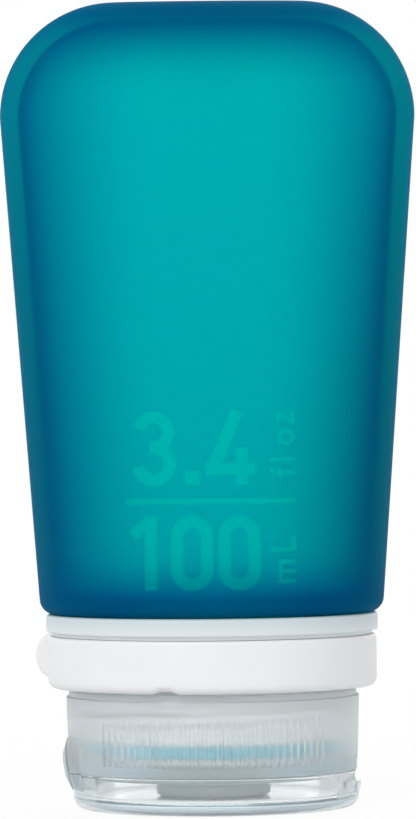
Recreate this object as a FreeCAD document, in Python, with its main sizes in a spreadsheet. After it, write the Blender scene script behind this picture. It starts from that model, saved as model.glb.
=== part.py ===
import FreeCAD, Part
import os
import Sketcher

# Travel squeeze bottle, standing on its closed flip lid.
# A soft silicone body, round at the shoulder and flattened at its closed end, hangs its mouth sleeve
# through a rigid threaded collar. A hang ring turns on the collar, a screw cap with a slit valve in its
# spout closes the mouth, and a clear lid on a living hinge closes the spout.
# Frame: origin at the centre of the foot, +Z up to the closed end, the front faces -Y, the lid's hinge is
# on -X and its thumb lip on +X. Millimetres and degrees.

# Driving sizes: alias, value, what it measures.
SIZES = (
    ("seat_gap", 0.05, "gap between seated faces"),
    ("cut_overrun", 1.0, "how far a cutting shape runs past the face it cuts"),
    ("mouth_radius", 14.9, "clear radius of the silicone mouth"),
    ("sleeve_wall", 1.4, "silicone sleeve inside the collar"),
    ("lip_overhang", 0.3, "silicone lip past the neck"),
    ("lip_height", 1.75, "thickness of the silicone lip"),
    ("neck_wall", 1.5, "wall of the collar's neck"),
    ("thread_depth", 1.1, "neck thread from root to crest"),
    ("thread_gap", 0.5, "radial gap from a thread's crest to the facing root"),
    ("thread_pitch", 3.6, "rise of the thread in one turn"),
    ("thread_root", 1.9, "width of a thread ridge at its root"),
    ("thread_crest", 1.0, "width of a thread ridge at its crest"),
    ("thread_margin", 0.2, "plain neck below the thread"),
    ("thread_bite", 0.3, "depth a ridge is rooted in its wall"),
    ("neck_turns", 1.25, "turns of the neck's thread"),
    ("cap_turns", 0.75, "turns of the cap's thread"),
    ("cap_wall", 1.65, "skirt wall at the rim"),
    ("cap_taper", 0.3, "how much the skirt narrows to its foot"),
    ("cap_height", 11.8, "cap from the lid seam to its rim"),
    ("rim_step", 0.4, "step turned into the rim"),
    ("rim_step_height", 1.0, "height of the rim step"),
    ("deck_thickness", 2.0, "plate that closes the cap"),
    ("deck_inset", 0.1, "deck band inside the foot of the skirt"),
    ("band_height", 1.5, "plain band round the deck"),
    ("rib_width", 0.62, "width of a grip rib at its root"),
    ("rib_stand", 0.12, "grip ribs past the rim of the skirt"),
    ("rib_rise", 0.4, "grip ribs start this far over the deck band"),
    ("rib_length", 6.3, "height of a grip rib"),
    ("rib_fan", 96.0, "angle covered by the ribs on each face"),
    ("rib_count", 31, "grip ribs on each face"),
    ("spout_radius", 8.2, "outside of the spout"),
    ("spout_wall", 1.6, "wall of the spout round the valve"),
    ("spout_floor", 1.2, "end of the spout under the valve"),
    ("spout_gap", 0.15, "gap from the spout's end to the lid's floor"),
    ("orifice_radius", 3.2, "hole in the spout's end"),
    ("snap_height", 0.9, "snap ring under the deck"),
    ("snap_wall", 1.0, "wall of the snap ring"),
    ("snap_gap", 0.25, "gap from the snap ring to the lid's wall"),
    ("valve_gap", 0.1, "gap round the valve"),
    ("valve_rim", 1.2, "thickness of the valve's rim"),
    ("valve_rim_width", 2.6, "radial width of the valve's rim"),
    ("valve_skin", 0.6, "thickness of the slit membrane"),
    ("valve_dish", 0.3, "how far the membrane dips to its centre"),
    ("valve_lift", 0.2, "membrane edge over the bottom of the rim"),
    ("slit_length", 3.6, "length of each slit"),
    ("slit_width", 0.12, "width of each slit"),
    ("retainer_height", 1.8, "ring pressed in behind the valve"),
    ("retainer_wall", 1.7, "wall of that ring"),
    ("washer_thickness", 0.5, "seal washer"),
    ("washer_inset", 0.3, "washer's hole past the mouth"),
    ("washer_overhang", 0.4, "washer past the lip"),
    ("lid_height", 5.2, "lid from foot to edge"),
    ("lid_gap", 0.1, "gap between the lid's edge and the deck"),
    ("lid_inset", 0.2, "lid inside the deck band"),
    ("lid_offset", 0.4, "lid's axis, moved towards the thumb lip"),
    ("lid_wall", 2.6, "wall of the lid"),
    ("lid_floor", 1.7, "floor of the lid"),
    ("foot_round", 1.6, "rounding of the lid's foot"),
    ("label_depth", 0.3, "shallow recess in the foot"),
    ("label_radius", 13.0, "radius of that recess"),
    ("plug_gap", 0.35, "gap round the plug in the orifice"),
    ("plug_height", 1.1, "plug over the lid's floor"),
    ("plug_bore", 1.6, "hollow of the plug"),
    ("thumb_reach", 0.35, "thumb lip past the lid's wall"),
    ("thumb_round_plan", 14.0, "radius of the thumb lip seen from above"),
    ("thumb_sweep", 62.0, "angle swept by the thumb lip"),
    ("thumb_root", 1.9, "depth of the thumb lip from its tip into the wall"),
    ("thumb_top", 3.7, "height of the thumb lip's upper edge"),
    ("thumb_depth", 2.3, "thumb lip from its upper to its lower edge"),
    ("thumb_bevel", 0.2, "bevel of the thumb lip's tip"),
    ("scoop_radius", 0.9, "finger groove over the thumb lip"),
    ("scoop_depth", 0.65, "depth of that groove in the lid's wall"),
    ("hinge_width", 12.0, "living hinge along its axis"),
    ("hinge_web", 0.5, "thickness of the living hinge"),
    ("hinge_stand", 0.05, "hinge lands past the walls that carry them"),
    ("hinge_top", 4.8, "hinge over the seam"),
    ("hinge_knee", 2.7, "where the hinge turns upright over the seam"),
    ("hinge_drop", 2.4, "hinge below the seam"),
    ("land_bite", 1.0, "depth a hinge land is rooted in its wall"),
    ("ring_gap", 0.2, "gap from the cap's rim to the hang ring"),
    ("ring_height", 7.5, "height of the hang ring"),
    ("ring_overhang", 2.6, "hang ring past the cap"),
    ("ring_wall", 1.8, "wall of the hang ring"),
    ("ring_foot_round", 1.3, "rounding of the ring's lower edge"),
    ("ring_top_round", 0.5, "rounding of the ring's upper edge"),
    ("web_rise", 3.9, "ring's inner web over its lower edge"),
    ("web_thickness", 1.5, "ring's inner web"),
    ("web_gap", 0.35, "gap from the web to the neck"),
    ("bead_depth", 1.0, "bead on the neck that holds the ring"),
    ("bead_width", 1.4, "width of that bead at its root"),
    ("bead_gap", 0.3, "gap from the bead to the web"),
    ("tab_angle", 141.0, "direction of the hang tab from +X"),
    ("tab_reach", 9.4, "hang tab past the ring"),
    ("tab_height", 7.1, "height of the hang tab"),
    ("tab_thickness", 2.4, "thickness of the hang tab"),
    ("tab_hole", 1.5, "radius of the hang hole"),
    ("hole_setback", 0.8, "hang hole's axis behind that of the tab's round end"),
    ("ring_play", 0.6, "gap from the hang ring to the flange"),
    ("flange_height", 2.5, "collar's flange"),
    ("flange_overhang", 0.2, "flange past the hang ring"),
    ("flange_round", 0.4, "rounding of the flange"),
    ("step_height", 0.55, "step under the flange"),
    ("step_inset", 0.9, "that step inside the flange's edge"),
    ("shoulder_overhang", 0.75, "silicone shoulder past the flange"),
    ("shoulder_round", 2.2, "rounding of the shoulder"),
    ("shoulder_wall", 2.4, "silicone floor round the mouth"),
    ("body_wall", 2.8, "silicone wall"),
    ("body_length", 88.1, "silicone body from the flange to its end"),
    ("end_half_width", 29.9, "half width of the flattened end"),
    ("end_half_depth", 10.2, "half depth that the walls run to at the end"),
    ("end_round", 16.6, "corner rounding of the flattened end"),
    ("end_flat", 1.4, "half depth of the flat crest on the end"),
)

# Places worked out from the sizes: radii from the mouth outwards, then heights from the foot up.
PLACES = (
    ("collar_bore", "Sizes.mouth_radius + Sizes.sleeve_wall + Sizes.seat_gap"),
    ("neck_radius", "collar_bore + Sizes.neck_wall"),
    ("lip_radius", "neck_radius + Sizes.lip_overhang"),
    ("neck_crest", "neck_radius + Sizes.thread_depth"),
    ("cap_bore", "neck_crest + Sizes.thread_gap"),
    ("cap_crest", "neck_radius + Sizes.thread_gap"),
    ("cap_radius", "cap_bore + Sizes.cap_wall"),
    ("cap_foot", "cap_radius - Sizes.cap_taper"),
    ("deck_radius", "cap_foot - Sizes.deck_inset"),
    ("rib_radius", "cap_radius + Sizes.rib_stand"),
    ("lid_radius", "deck_radius - Sizes.lid_inset"),
    ("lid_bore", "lid_radius - Sizes.lid_wall"),
    ("snap_radius", "lid_bore - Sizes.lid_offset - Sizes.snap_gap"),
    ("valve_seat", "Sizes.spout_radius - Sizes.spout_wall"),
    ("valve_radius", "valve_seat - Sizes.valve_gap"),
    ("valve_eye", "valve_radius - Sizes.valve_rim_width"),
    ("retainer_radius", "valve_seat - Sizes.seat_gap"),
    ("plug_radius", "Sizes.orifice_radius - Sizes.plug_gap"),
    ("ring_radius", "cap_radius + Sizes.ring_overhang"),
    ("ring_bore", "ring_radius - Sizes.ring_wall"),
    ("web_bore", "neck_radius + Sizes.web_gap"),
    ("bead_radius", "neck_radius + Sizes.bead_depth"),
    ("flange_radius", "ring_radius + Sizes.flange_overhang"),
    ("step_radius", "flange_radius - Sizes.step_inset"),
    ("shoulder_radius", "flange_radius + Sizes.shoulder_overhang"),
    ("tab_end", "ring_radius + Sizes.tab_reach - Sizes.tab_height / 2"),
    ("seam", "Sizes.lid_height + Sizes.lid_gap"),
    ("deck_top", "seam + Sizes.deck_thickness"),
    ("band_top", "seam + Sizes.band_height"),
    ("rim", "seam + Sizes.cap_height"),
    ("spout_end", "Sizes.lid_floor + Sizes.spout_gap"),
    ("valve_low", "spout_end + Sizes.spout_floor"),
    ("valve_high", "valve_low + Sizes.valve_rim"),
    ("washer_low", "deck_top + Sizes.seat_gap"),
    ("washer_high", "washer_low + Sizes.washer_thickness"),
    ("lip_low", "washer_high + Sizes.seat_gap"),
    ("lip_high", "lip_low + Sizes.lip_height"),
    ("neck_end", "lip_high + Sizes.seat_gap"),
    ("neck_thread", "neck_end + Sizes.thread_margin + Sizes.thread_root / 2"),
    ("cap_thread", "neck_thread + Sizes.thread_pitch / 2"),
    ("ring_low", "rim + Sizes.ring_gap"),
    ("ring_high", "ring_low + Sizes.ring_height"),
    ("ring_middle", "ring_low + Sizes.ring_height / 2"),
    ("web_low", "ring_low + Sizes.web_rise"),
    ("web_high", "web_low + Sizes.web_thickness"),
    ("bead_high", "web_low - Sizes.bead_gap"),
    ("bead_low", "bead_high - Sizes.bead_width"),
    ("flange_low", "ring_high + Sizes.ring_play"),
    ("flange_high", "flange_low + Sizes.flange_height"),
    ("body_end", "flange_high + Sizes.body_length"),
    ("dome", "body_end - Sizes.end_round"),
    ("hinge_seam_face", "deck_radius + Sizes.hinge_stand"),
    ("hinge_cap_face", "cap_radius + Sizes.hinge_stand"),
    ("hinge_lid_face", "lid_radius - Sizes.lid_offset + Sizes.hinge_stand"),
    ("thumb_wall", "lid_radius + Sizes.lid_offset"),
    ("thumb_axis", "thumb_wall + Sizes.thumb_reach - Sizes.thumb_round_plan"),
)

# How many steps round the corner of the silicone body's closed end.
END_STEPS = 6
QUARTER_TURN = 90
TOLERANCE = 1e-4

# A sketch numbers its axes below zero, and the points of a line or circle from one.
UPRIGHT_AXIS, LEVEL_AXIS = range(-2, 0)
START, FINISH, CENTRE = range(1, 4)


def fill_sheet(name, rows, mark):
    """One row per alias: the name, then the value or the formula."""
    sheet = doc.addObject("Spreadsheet::Sheet", name)
    for row, (alias, content, *_) in enumerate(rows, start=1):
        sheet.set(f"A{row}", alias)
        sheet.set(f"B{row}", f"{mark}{content}")
        sheet.setAlias(f"B{row}", alias)
    doc.recompute()
    return sheet


def value(expression):
    return float(sizes.evalExpression(expression))


def add_body(label):
    return doc.addObject("PartDesign::Body", label)


def add_sketch(body, name, role):
    plane = next(feature for feature in body.Origin.OriginFeatures if feature.Role == role)
    sketch = body.newObject("Sketcher::SketchObject", name)
    sketch.AttachmentSupport = [(plane, "")]
    sketch.MapMode = "FlatFace"
    return sketch


def pin(sketch, line, kind, expression):
    """Ties the start of a line to the sheet, or to an axis where the expression is zero."""
    if expression == "0":
        axis = UPRIGHT_AXIS if kind == "DistanceX" else LEVEL_AXIS
        sketch.addConstraint(Sketcher.Constraint("PointOnObject", line, START, axis))
        return
    index = sketch.addConstraint(
        Sketcher.Constraint(kind, LEVEL_AXIS, START, line, START, value(expression)))
    sketch.setExpression(f"Constraints[{index}]", expression)


def polygon(sketch, corners):
    """Closed straight-sided outline through corners given as (across, up) expressions."""
    points = [FreeCAD.Vector(value(across), value(up), 0) for across, up in corners]
    lines = [Part.LineSegment(a, b) for a, b in zip(points, points[1:] + points[:1])]
    first = sketch.GeometryCount
    sketch.addGeometry(lines, False)
    for step in range(len(lines)):
        following = first + (step + 1) % len(lines)
        sketch.addConstraint(Sketcher.Constraint("Coincident", first + step, FINISH, following, START))
    for step, (across, up) in enumerate(corners):
        pin(sketch, first + step, "DistanceX", across)
        pin(sketch, first + step, "DistanceY", up)


def circle(sketch, across, up, radius):
    """Circle with its centre and radius given as expressions."""
    centre = FreeCAD.Vector(value(across), value(up), 0)
    index = sketch.addGeometry(Part.Circle(centre, FreeCAD.Vector(0, 0, 1), value(radius)), False)
    for kind, expression in (("DistanceX", across), ("DistanceY", up)):
        row = sketch.addConstraint(
            Sketcher.Constraint(kind, LEVEL_AXIS, START, index, CENTRE, value(expression)))
        sketch.setExpression(f"Constraints[{row}]", expression)
    row = sketch.addConstraint(Sketcher.Constraint("Radius", index, value(radius)))
    sketch.setExpression(f"Constraints[{row}]", radius)


def revolve(body, name, corners, axis_at=None):
    """Solid of revolution about the vertical through axis_at, from a half outline measured from it."""
    sketch = add_sketch(body, f"{name}_outline", "XZ_Plane")
    if axis_at:
        sketch.setExpression(".AttachmentOffset.Base.x", axis_at)
    polygon(sketch, corners)
    turned = body.newObject("PartDesign::Revolution", name)
    turned.Profile = sketch
    turned.ReferenceAxis = (sketch, ["V_Axis"])
    doc.recompute()
    return turned


def extrude(body, name, kind, sketch, length, symmetric=False):
    """Pad or pocket of a sketch, to one side or to both sides of its plane."""
    feature = body.newObject(f"PartDesign::{kind}", name)
    feature.Profile = sketch
    feature.SideType = "Symmetric" if symmetric else "One side"
    feature.setExpression("Length", length)
    doc.recompute()
    return feature


def round_edges(body, name, radius, rings):
    """Fillet of the circular edges given by their (radius, height) expressions."""
    base = body.Tip
    wanted = [(value(across), value(up)) for across, up in rings]
    edges = []
    for number, edge in enumerate(base.Shape.Edges, start=1):
        curve = edge.Curve
        if not isinstance(curve, Part.Circle):
            continue
        for across, up in wanted:
            if abs(curve.Radius - across) < TOLERANCE and abs(curve.Center.z - up) < TOLERANCE:
                edges.append(f"Edge{number}")
    fillet = body.newObject("PartDesign::Fillet", name)
    fillet.Base = (base, edges)
    fillet.setExpression("Radius", radius)
    doc.recompute()
    return fillet


def add_thread(body, name, root, crest, start, turns):
    """Right-handed trapezoid ridge that climbs round the axis from +X."""
    sketch = add_sketch(body, f"{name}_section", "XZ_Plane")
    polygon(sketch, (
        (root, f"{start} - Sizes.thread_root / 2"),
        (crest, f"{start} - Sizes.thread_crest / 2"),
        (crest, f"{start} + Sizes.thread_crest / 2"),
        (root, f"{start} + Sizes.thread_root / 2"),
    ))
    ridge = body.newObject("PartDesign::AdditiveHelix", name)
    ridge.Profile = sketch
    ridge.ReferenceAxis = (sketch, ["V_Axis"])
    ridge.Mode = "pitch-turns-angle"
    ridge.setExpression("Pitch", "Sizes.thread_pitch")
    ridge.setExpression("Turns", turns)
    doc.recompute()
    return ridge


def add_cylinder(name, radius, low, height):
    cylinder = doc.addObject("Part::Cylinder", name)
    cylinder.setExpression("Radius", radius)
    cylinder.setExpression("Height", height)
    cylinder.setExpression(".Placement.Base.z", low)
    return cylinder


def wall_width(height):
    """Half width of the body's straight side walls at a height."""
    share = f"(({height}) - Places.flange_high) / (Places.dome - Places.flange_high)"
    return f"Places.shoulder_radius + (Sizes.end_half_width - Places.shoulder_radius) * {share}"


def wall_depth(height):
    """Half depth of the body's straight front and back walls at a height."""
    share = f"(({height}) - Places.flange_high) / Sizes.body_length"
    return f"Places.shoulder_radius + (Sizes.end_half_depth - Places.shoulder_radius) * {share}"


def wall_sections(start, inset):
    """Height, half width and half depth where the straight walls start and where they end."""
    for height in (start, "Places.dome"):
        yield height, f"{wall_width(height)} - {inset}", f"{wall_depth(height)} - {inset}"


def end_sections(inset):
    """Heights, half widths and half depths round the end's corner, from upright to level."""
    for step in range(END_STEPS + 1):
        angle = f"{QUARTER_TURN} * {step} / {END_STEPS}"
        height = f"Places.dome + (Sizes.end_round - {inset}) * sin({angle})"
        outside = f"Places.dome + Sizes.end_round * sin({angle})"
        width = f"Sizes.end_half_width - Sizes.end_round + (Sizes.end_round - {inset}) * cos({angle})"
        depth = f"Sizes.end_flat + ({wall_depth(outside)} - Sizes.end_flat - {inset}) * cos({angle})"
        yield height, width, depth


def add_loft(name, sections, ruled):
    """Solid through elliptic sections, straight or smooth between them."""
    rings = []
    for height, width, depth in sections:
        ring = doc.addObject("Part::Ellipse", f"{name}_ring")
        ring.setExpression("MajorRadius", width)
        ring.setExpression("MinorRadius", depth)
        ring.setExpression(".Placement.Base.z", height)
        rings.append(ring)
    loft = doc.addObject("Part::Loft", name)
    loft.Sections = rings
    loft.Solid = True
    loft.Ruled = ruled
    doc.recompute()
    return loft


def fuse(name, shapes):
    joined = doc.addObject("Part::MultiFuse", name)
    joined.Shapes = shapes
    return joined


def build_bottle_body():
    """Silicone shell: straight walls, rounded end and shoulder, and the mouth sleeve with its sealing lip."""
    floor_top = "Places.flange_high + Sizes.shoulder_wall"
    walls = add_loft("body_walls", wall_sections("Places.flange_high", "0"), ruled=True)
    end = add_loft("body_end", end_sections("0"), ruled=False)
    inner_walls = add_loft("hollow_walls", wall_sections(floor_top, "Sizes.body_wall"), ruled=True)
    inner_end = add_loft("hollow_end", end_sections("Sizes.body_wall"), ruled=False)
    shoulder = doc.addObject("Part::Fillet", "body_shoulder")
    shoulder.Base = walls
    low = value("Places.flange_high")
    radius = value("Sizes.shoulder_round")
    numbered = enumerate(walls.Shape.Edges, start=1)
    shoulder.Edges = [(n, radius, radius) for n, edge in numbered if edge.BoundBox.ZMax < low + TOLERANCE]
    sleeve = add_cylinder("body_sleeve", "Sizes.mouth_radius + Sizes.sleeve_wall", "Places.lip_low",
                          f"{floor_top} - Places.lip_low")
    lip = add_cylinder("body_lip", "Places.lip_radius", "Places.lip_low", "Sizes.lip_height")
    mouth = add_cylinder("body_mouth", "Sizes.mouth_radius", "Places.lip_low - Sizes.cut_overrun",
                         f"{floor_top} - Places.lip_low + 2 * Sizes.cut_overrun")
    bottle = doc.addObject("Part::Cut", "bottle_body")
    bottle.Base = fuse("body_solid", [shoulder, end, sleeve, lip])
    bottle.Tool = fuse("body_hollow", [inner_walls, inner_end, mouth])
    return bottle


def build_neck_collar():
    """Flange under the shoulder with a low step, neck with a bead that holds the ring, and the thread."""
    body = add_body("neck_collar")
    revolve(body, "collar_turned", (
        ("Places.collar_bore", "Places.neck_end"),
        ("Places.neck_radius", "Places.neck_end"),
        ("Places.neck_radius", "Places.bead_low"),
        ("Places.bead_radius", "Places.bead_high - Sizes.bead_width / 2"),
        ("Places.bead_radius", "Places.bead_high"),
        ("Places.neck_radius", "Places.bead_high"),
        ("Places.neck_radius", "Places.flange_low - Sizes.step_height"),
        ("Places.step_radius", "Places.flange_low - Sizes.step_height"),
        ("Places.step_radius", "Places.flange_low"),
        ("Places.flange_radius", "Places.flange_low"),
        ("Places.flange_radius", "Places.flange_high"),
        ("Places.collar_bore", "Places.flange_high"),
    ))
    round_edges(body, "collar_rounded", "Sizes.flange_round", (
        ("Places.flange_radius", "Places.flange_low"),
        ("Places.flange_radius", "Places.flange_high"),
    ))
    add_thread(body, "collar_thread", "Places.neck_radius - Sizes.thread_bite", "Places.neck_crest",
               "Places.neck_thread", "Sizes.neck_turns")
    return body


def build_hang_ring():
    """Ring with an inner web that rides on the neck's bead, and an upright round-ended hang tab."""
    body = add_body("hang_ring")
    revolve(body, "ring_turned", (
        ("Places.ring_bore", "Places.ring_low"),
        ("Places.ring_radius", "Places.ring_low"),
        ("Places.ring_radius", "Places.ring_high"),
        ("Places.ring_bore", "Places.ring_high"),
        ("Places.ring_bore", "Places.web_high"),
        ("Places.web_bore", "Places.web_high"),
        ("Places.web_bore", "Places.web_low"),
        ("Places.ring_bore", "Places.web_low"),
    ))
    round_edges(body, "ring_foot", "Sizes.ring_foot_round", (("Places.ring_radius", "Places.ring_low"),))
    round_edges(body, "ring_top", "Sizes.ring_top_round", (("Places.ring_radius", "Places.ring_high"),))
    arm = add_sketch(body, "tab_arm_outline", "XZ_Plane")
    turn_to_tab(arm)
    polygon(arm, (
        ("Places.ring_bore", "Places.ring_middle - Sizes.tab_height / 2"),
        ("Places.tab_end", "Places.ring_middle - Sizes.tab_height / 2"),
        ("Places.tab_end", "Places.ring_middle + Sizes.tab_height / 2"),
        ("Places.ring_bore", "Places.ring_middle + Sizes.tab_height / 2"),
    ))
    extrude(body, "tab_arm", "Pad", arm, "Sizes.tab_thickness", symmetric=True)
    end = add_sketch(body, "tab_end_outline", "XZ_Plane")
    turn_to_tab(end)
    circle(end, "Places.tab_end", "Places.ring_middle", "Sizes.tab_height / 2")
    extrude(body, "tab_end", "Pad", end, "Sizes.tab_thickness", symmetric=True)
    hole = add_sketch(body, "tab_hole_outline", "XZ_Plane")
    turn_to_tab(hole)
    circle(hole, "Places.tab_end - Sizes.hole_setback", "Places.ring_middle", "Sizes.tab_hole")
    extrude(body, "tab_hole", "Pocket", hole, "Sizes.tab_thickness + Sizes.cut_overrun", symmetric=True)
    return body


def turn_to_tab(sketch):
    """Turns an upright sketch about the axis until its right side points along the hang tab."""
    sketch.AttachmentOffset = FreeCAD.Placement(
        FreeCAD.Vector(0, 0, 0), FreeCAD.Rotation(FreeCAD.Vector(0, 1, 0), value("Sizes.tab_angle")))
    sketch.setExpression(".AttachmentOffset.Rotation.Angle", "Sizes.tab_angle")


def build_screw_cap():
    """Skirt, deck and spout turned in one piece, with the thread, grip ribs and hinge land."""
    body = add_body("screw_cap")
    revolve(body, "cap_turned", (
        ("Places.cap_bore", "Places.rim"),
        ("Places.cap_bore", "Places.deck_top"),
        ("Places.valve_seat", "Places.deck_top"),
        ("Places.valve_seat", "Places.valve_low"),
        ("Sizes.orifice_radius", "Places.valve_low"),
        ("Sizes.orifice_radius", "Places.spout_end"),
        ("Sizes.spout_radius", "Places.spout_end"),
        ("Sizes.spout_radius", "Places.seam"),
        ("Places.snap_radius - Sizes.snap_wall", "Places.seam"),
        ("Places.snap_radius - Sizes.snap_wall", "Places.seam - Sizes.snap_height"),
        ("Places.snap_radius", "Places.seam - Sizes.snap_height"),
        ("Places.snap_radius", "Places.seam"),
        ("Places.deck_radius", "Places.seam"),
        ("Places.deck_radius", "Places.band_top"),
        ("Places.cap_foot", "Places.band_top"),
        ("Places.cap_radius", "Places.rim - Sizes.rim_step_height"),
        ("Places.cap_radius - Sizes.rim_step", "Places.rim - Sizes.rim_step_height"),
        ("Places.cap_radius - Sizes.rim_step", "Places.rim"),
    ))
    land = add_sketch(body, "cap_land_outline", "XZ_Plane")
    polygon(land, (
        ("-(Places.cap_foot - Sizes.land_bite)", "Places.seam"),
        ("-(Places.hinge_seam_face)", "Places.seam"),
        ("-(Places.hinge_cap_face)", "Places.seam + Sizes.hinge_knee"),
        ("-(Places.hinge_cap_face)", "Places.seam + Sizes.hinge_top"),
        ("-(Places.cap_foot - Sizes.land_bite)", "Places.seam + Sizes.hinge_top"),
    ))
    extrude(body, "cap_land", "Pad", land, "Sizes.hinge_width", symmetric=True)
    add_thread(body, "cap_thread", "Places.cap_bore + Sizes.thread_bite", "Places.cap_crest",
               "Places.cap_thread", "Sizes.cap_turns")
    add_ribs(body)
    return body


def add_ribs(body):
    """Fine upright grip ribs, fanned over the front and the back of the skirt."""
    sketch = add_sketch(body, "rib_outline", "XY_Plane")
    sketch.setExpression(".AttachmentOffset.Base.z", "Places.band_top + Sizes.rib_rise")
    first = f"{QUARTER_TURN} - Sizes.rib_fan / 2"
    sketch.AttachmentOffset.Rotation = FreeCAD.Rotation(FreeCAD.Vector(0, 0, 1), value(first))
    sketch.setExpression(".AttachmentOffset.Rotation.Angle", first)
    root = "Places.cap_foot - Sizes.thread_bite"
    polygon(sketch, (
        (root, "-(Sizes.rib_width / 2)"),
        ("Places.rib_radius", "-(Sizes.rib_width / 4)"),
        ("Places.rib_radius", "Sizes.rib_width / 4"),
        (root, "Sizes.rib_width / 2"),
    ))
    rib = extrude(body, "rib", "Pad", sketch, "Sizes.rib_length")
    axis = next(feature for feature in body.Origin.OriginFeatures if feature.Role == "Z_Axis")
    ribs = body.newObject("PartDesign::MultiTransform", "ribs")
    fan = body.newObject("PartDesign::PolarPattern", "rib_fan")
    fan.Axis = (axis, [""])
    fan.setExpression("Angle", "Sizes.rib_fan")
    fan.setExpression("Occurrences", "Sizes.rib_count")
    faces = body.newObject("PartDesign::PolarPattern", "rib_faces")
    faces.Axis = (axis, [""])
    faces.Occurrences = 2
    ribs.Originals = [rib]
    ribs.Transformations = [fan, faces]
    body.Tip = ribs
    doc.recompute()


def build_seal_washer():
    """Flat washer between the cap's deck and the silicone lip."""
    body = add_body("seal_washer")
    hole = "Sizes.mouth_radius + Sizes.washer_inset"
    outside = "Places.lip_radius + Sizes.washer_overhang"
    revolve(body, "washer_turned", (
        (hole, "Places.washer_low"),
        (outside, "Places.washer_low"),
        (outside, "Places.washer_high"),
        (hole, "Places.washer_high"),
    ))
    return body


def build_spout_valve():
    """Rimmed silicone disc with a dished membrane, cut by two crossed slits."""
    body = add_body("spout_valve")
    edge = "Places.valve_low + Sizes.valve_lift + Sizes.valve_dish"
    revolve(body, "valve_turned", (
        ("0", f"{edge} - Sizes.valve_dish"),
        ("Places.valve_eye", edge),
        ("Places.valve_eye", "Places.valve_low"),
        ("Places.valve_radius", "Places.valve_low"),
        ("Places.valve_radius", "Places.valve_high"),
        ("Places.valve_eye", "Places.valve_high"),
        ("Places.valve_eye", f"{edge} + Sizes.valve_skin"),
        ("0", f"{edge} - Sizes.valve_dish + Sizes.valve_skin"),
    ))
    for name, across, along in (("slit_x", "Sizes.slit_length", "Sizes.slit_width"),
                                ("slit_y", "Sizes.slit_width", "Sizes.slit_length")):
        sketch = add_sketch(body, f"{name}_outline", "XY_Plane")
        sketch.setExpression(".AttachmentOffset.Base.z", "Places.valve_high")
        polygon(sketch, (
            (f"-({across} / 2)", f"-({along} / 2)"),
            (f"{across} / 2", f"-({along} / 2)"),
            (f"{across} / 2", f"{along} / 2"),
            (f"-({across} / 2)", f"{along} / 2"),
        ))
        extrude(body, name, "Pocket", sketch, "Sizes.valve_rim")
    return body


def build_valve_retainer():
    """Ring pressed into the spout from inside, on the valve's rim."""
    body = add_body("valve_retainer")
    hole = "Places.retainer_radius - Sizes.retainer_wall"
    top = "Places.valve_high + Sizes.retainer_height"
    revolve(body, "retainer_turned", (
        (hole, "Places.valve_high"),
        ("Places.retainer_radius", "Places.valve_high"),
        ("Places.retainer_radius", top),
        (hole, top),
    ))
    return body


def build_flip_lid():
    """Clear cup with a plug for the spout, a label recess in its foot, thumb lip and hinge land."""
    body = add_body("flip_lid")
    plug_top = "Sizes.lid_floor + Sizes.plug_height"
    revolve(body, "lid_turned", (
        ("0", "Sizes.label_depth"),
        ("Sizes.label_radius", "Sizes.label_depth"),
        ("Sizes.label_radius", "0"),
        ("Places.lid_radius", "0"),
        ("Places.lid_radius", "Sizes.lid_height"),
        ("Places.lid_bore", "Sizes.lid_height"),
        ("Places.lid_bore", "Sizes.lid_floor"),
        ("0", "Sizes.lid_floor"),
    ), axis_at="Sizes.lid_offset")
    round_edges(body, "lid_foot", "Sizes.foot_round", (("Places.lid_radius", "0"),))
    revolve(body, "lid_plug", (
        ("Sizes.plug_bore", "Sizes.lid_floor - Sizes.label_depth"),
        ("Places.plug_radius", "Sizes.lid_floor - Sizes.label_depth"),
        ("Places.plug_radius", plug_top),
        ("Sizes.plug_bore", plug_top),
    ))
    tip = "Sizes.thumb_round_plan"
    lip = revolve(body, "thumb_lip", (
        (f"{tip} - Sizes.thumb_root", "Sizes.thumb_top - Sizes.thumb_depth"),
        (f"{tip} - Sizes.thumb_reach", "Sizes.thumb_top - Sizes.thumb_depth"),
        (tip, "Sizes.thumb_top - Sizes.thumb_bevel"),
        (f"{tip} - Sizes.thumb_bevel", "Sizes.thumb_top"),
        (f"{tip} - Sizes.thumb_root", "Sizes.thumb_top"),
    ), axis_at="Places.thumb_axis")
    lip.Midplane = True
    lip.setExpression("Angle", "Sizes.thumb_sweep")
    scoop = add_sketch(body, "scoop_outline", "XZ_Plane")
    circle(scoop, "Places.thumb_wall - Sizes.scoop_depth + Sizes.scoop_radius",
           "Sizes.thumb_top + Sizes.scoop_radius", "Sizes.scoop_radius")
    extrude(body, "scoop", "Pocket", scoop, "2 * Places.thumb_wall", symmetric=True)
    land = add_sketch(body, "lid_land_outline", "XZ_Plane")
    rooted = "-(Places.lid_radius - Sizes.lid_offset - Sizes.land_bite)"
    low = "Places.seam - Sizes.hinge_drop"
    polygon(land, (
        (rooted, low),
        ("-(Places.hinge_lid_face)", low),
        ("-(Places.hinge_seam_face)", "Sizes.lid_height"),
        (rooted, "Sizes.lid_height"),
    ))
    extrude(body, "lid_land", "Pad", land, "Sizes.hinge_width", symmetric=True)
    return body


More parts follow.
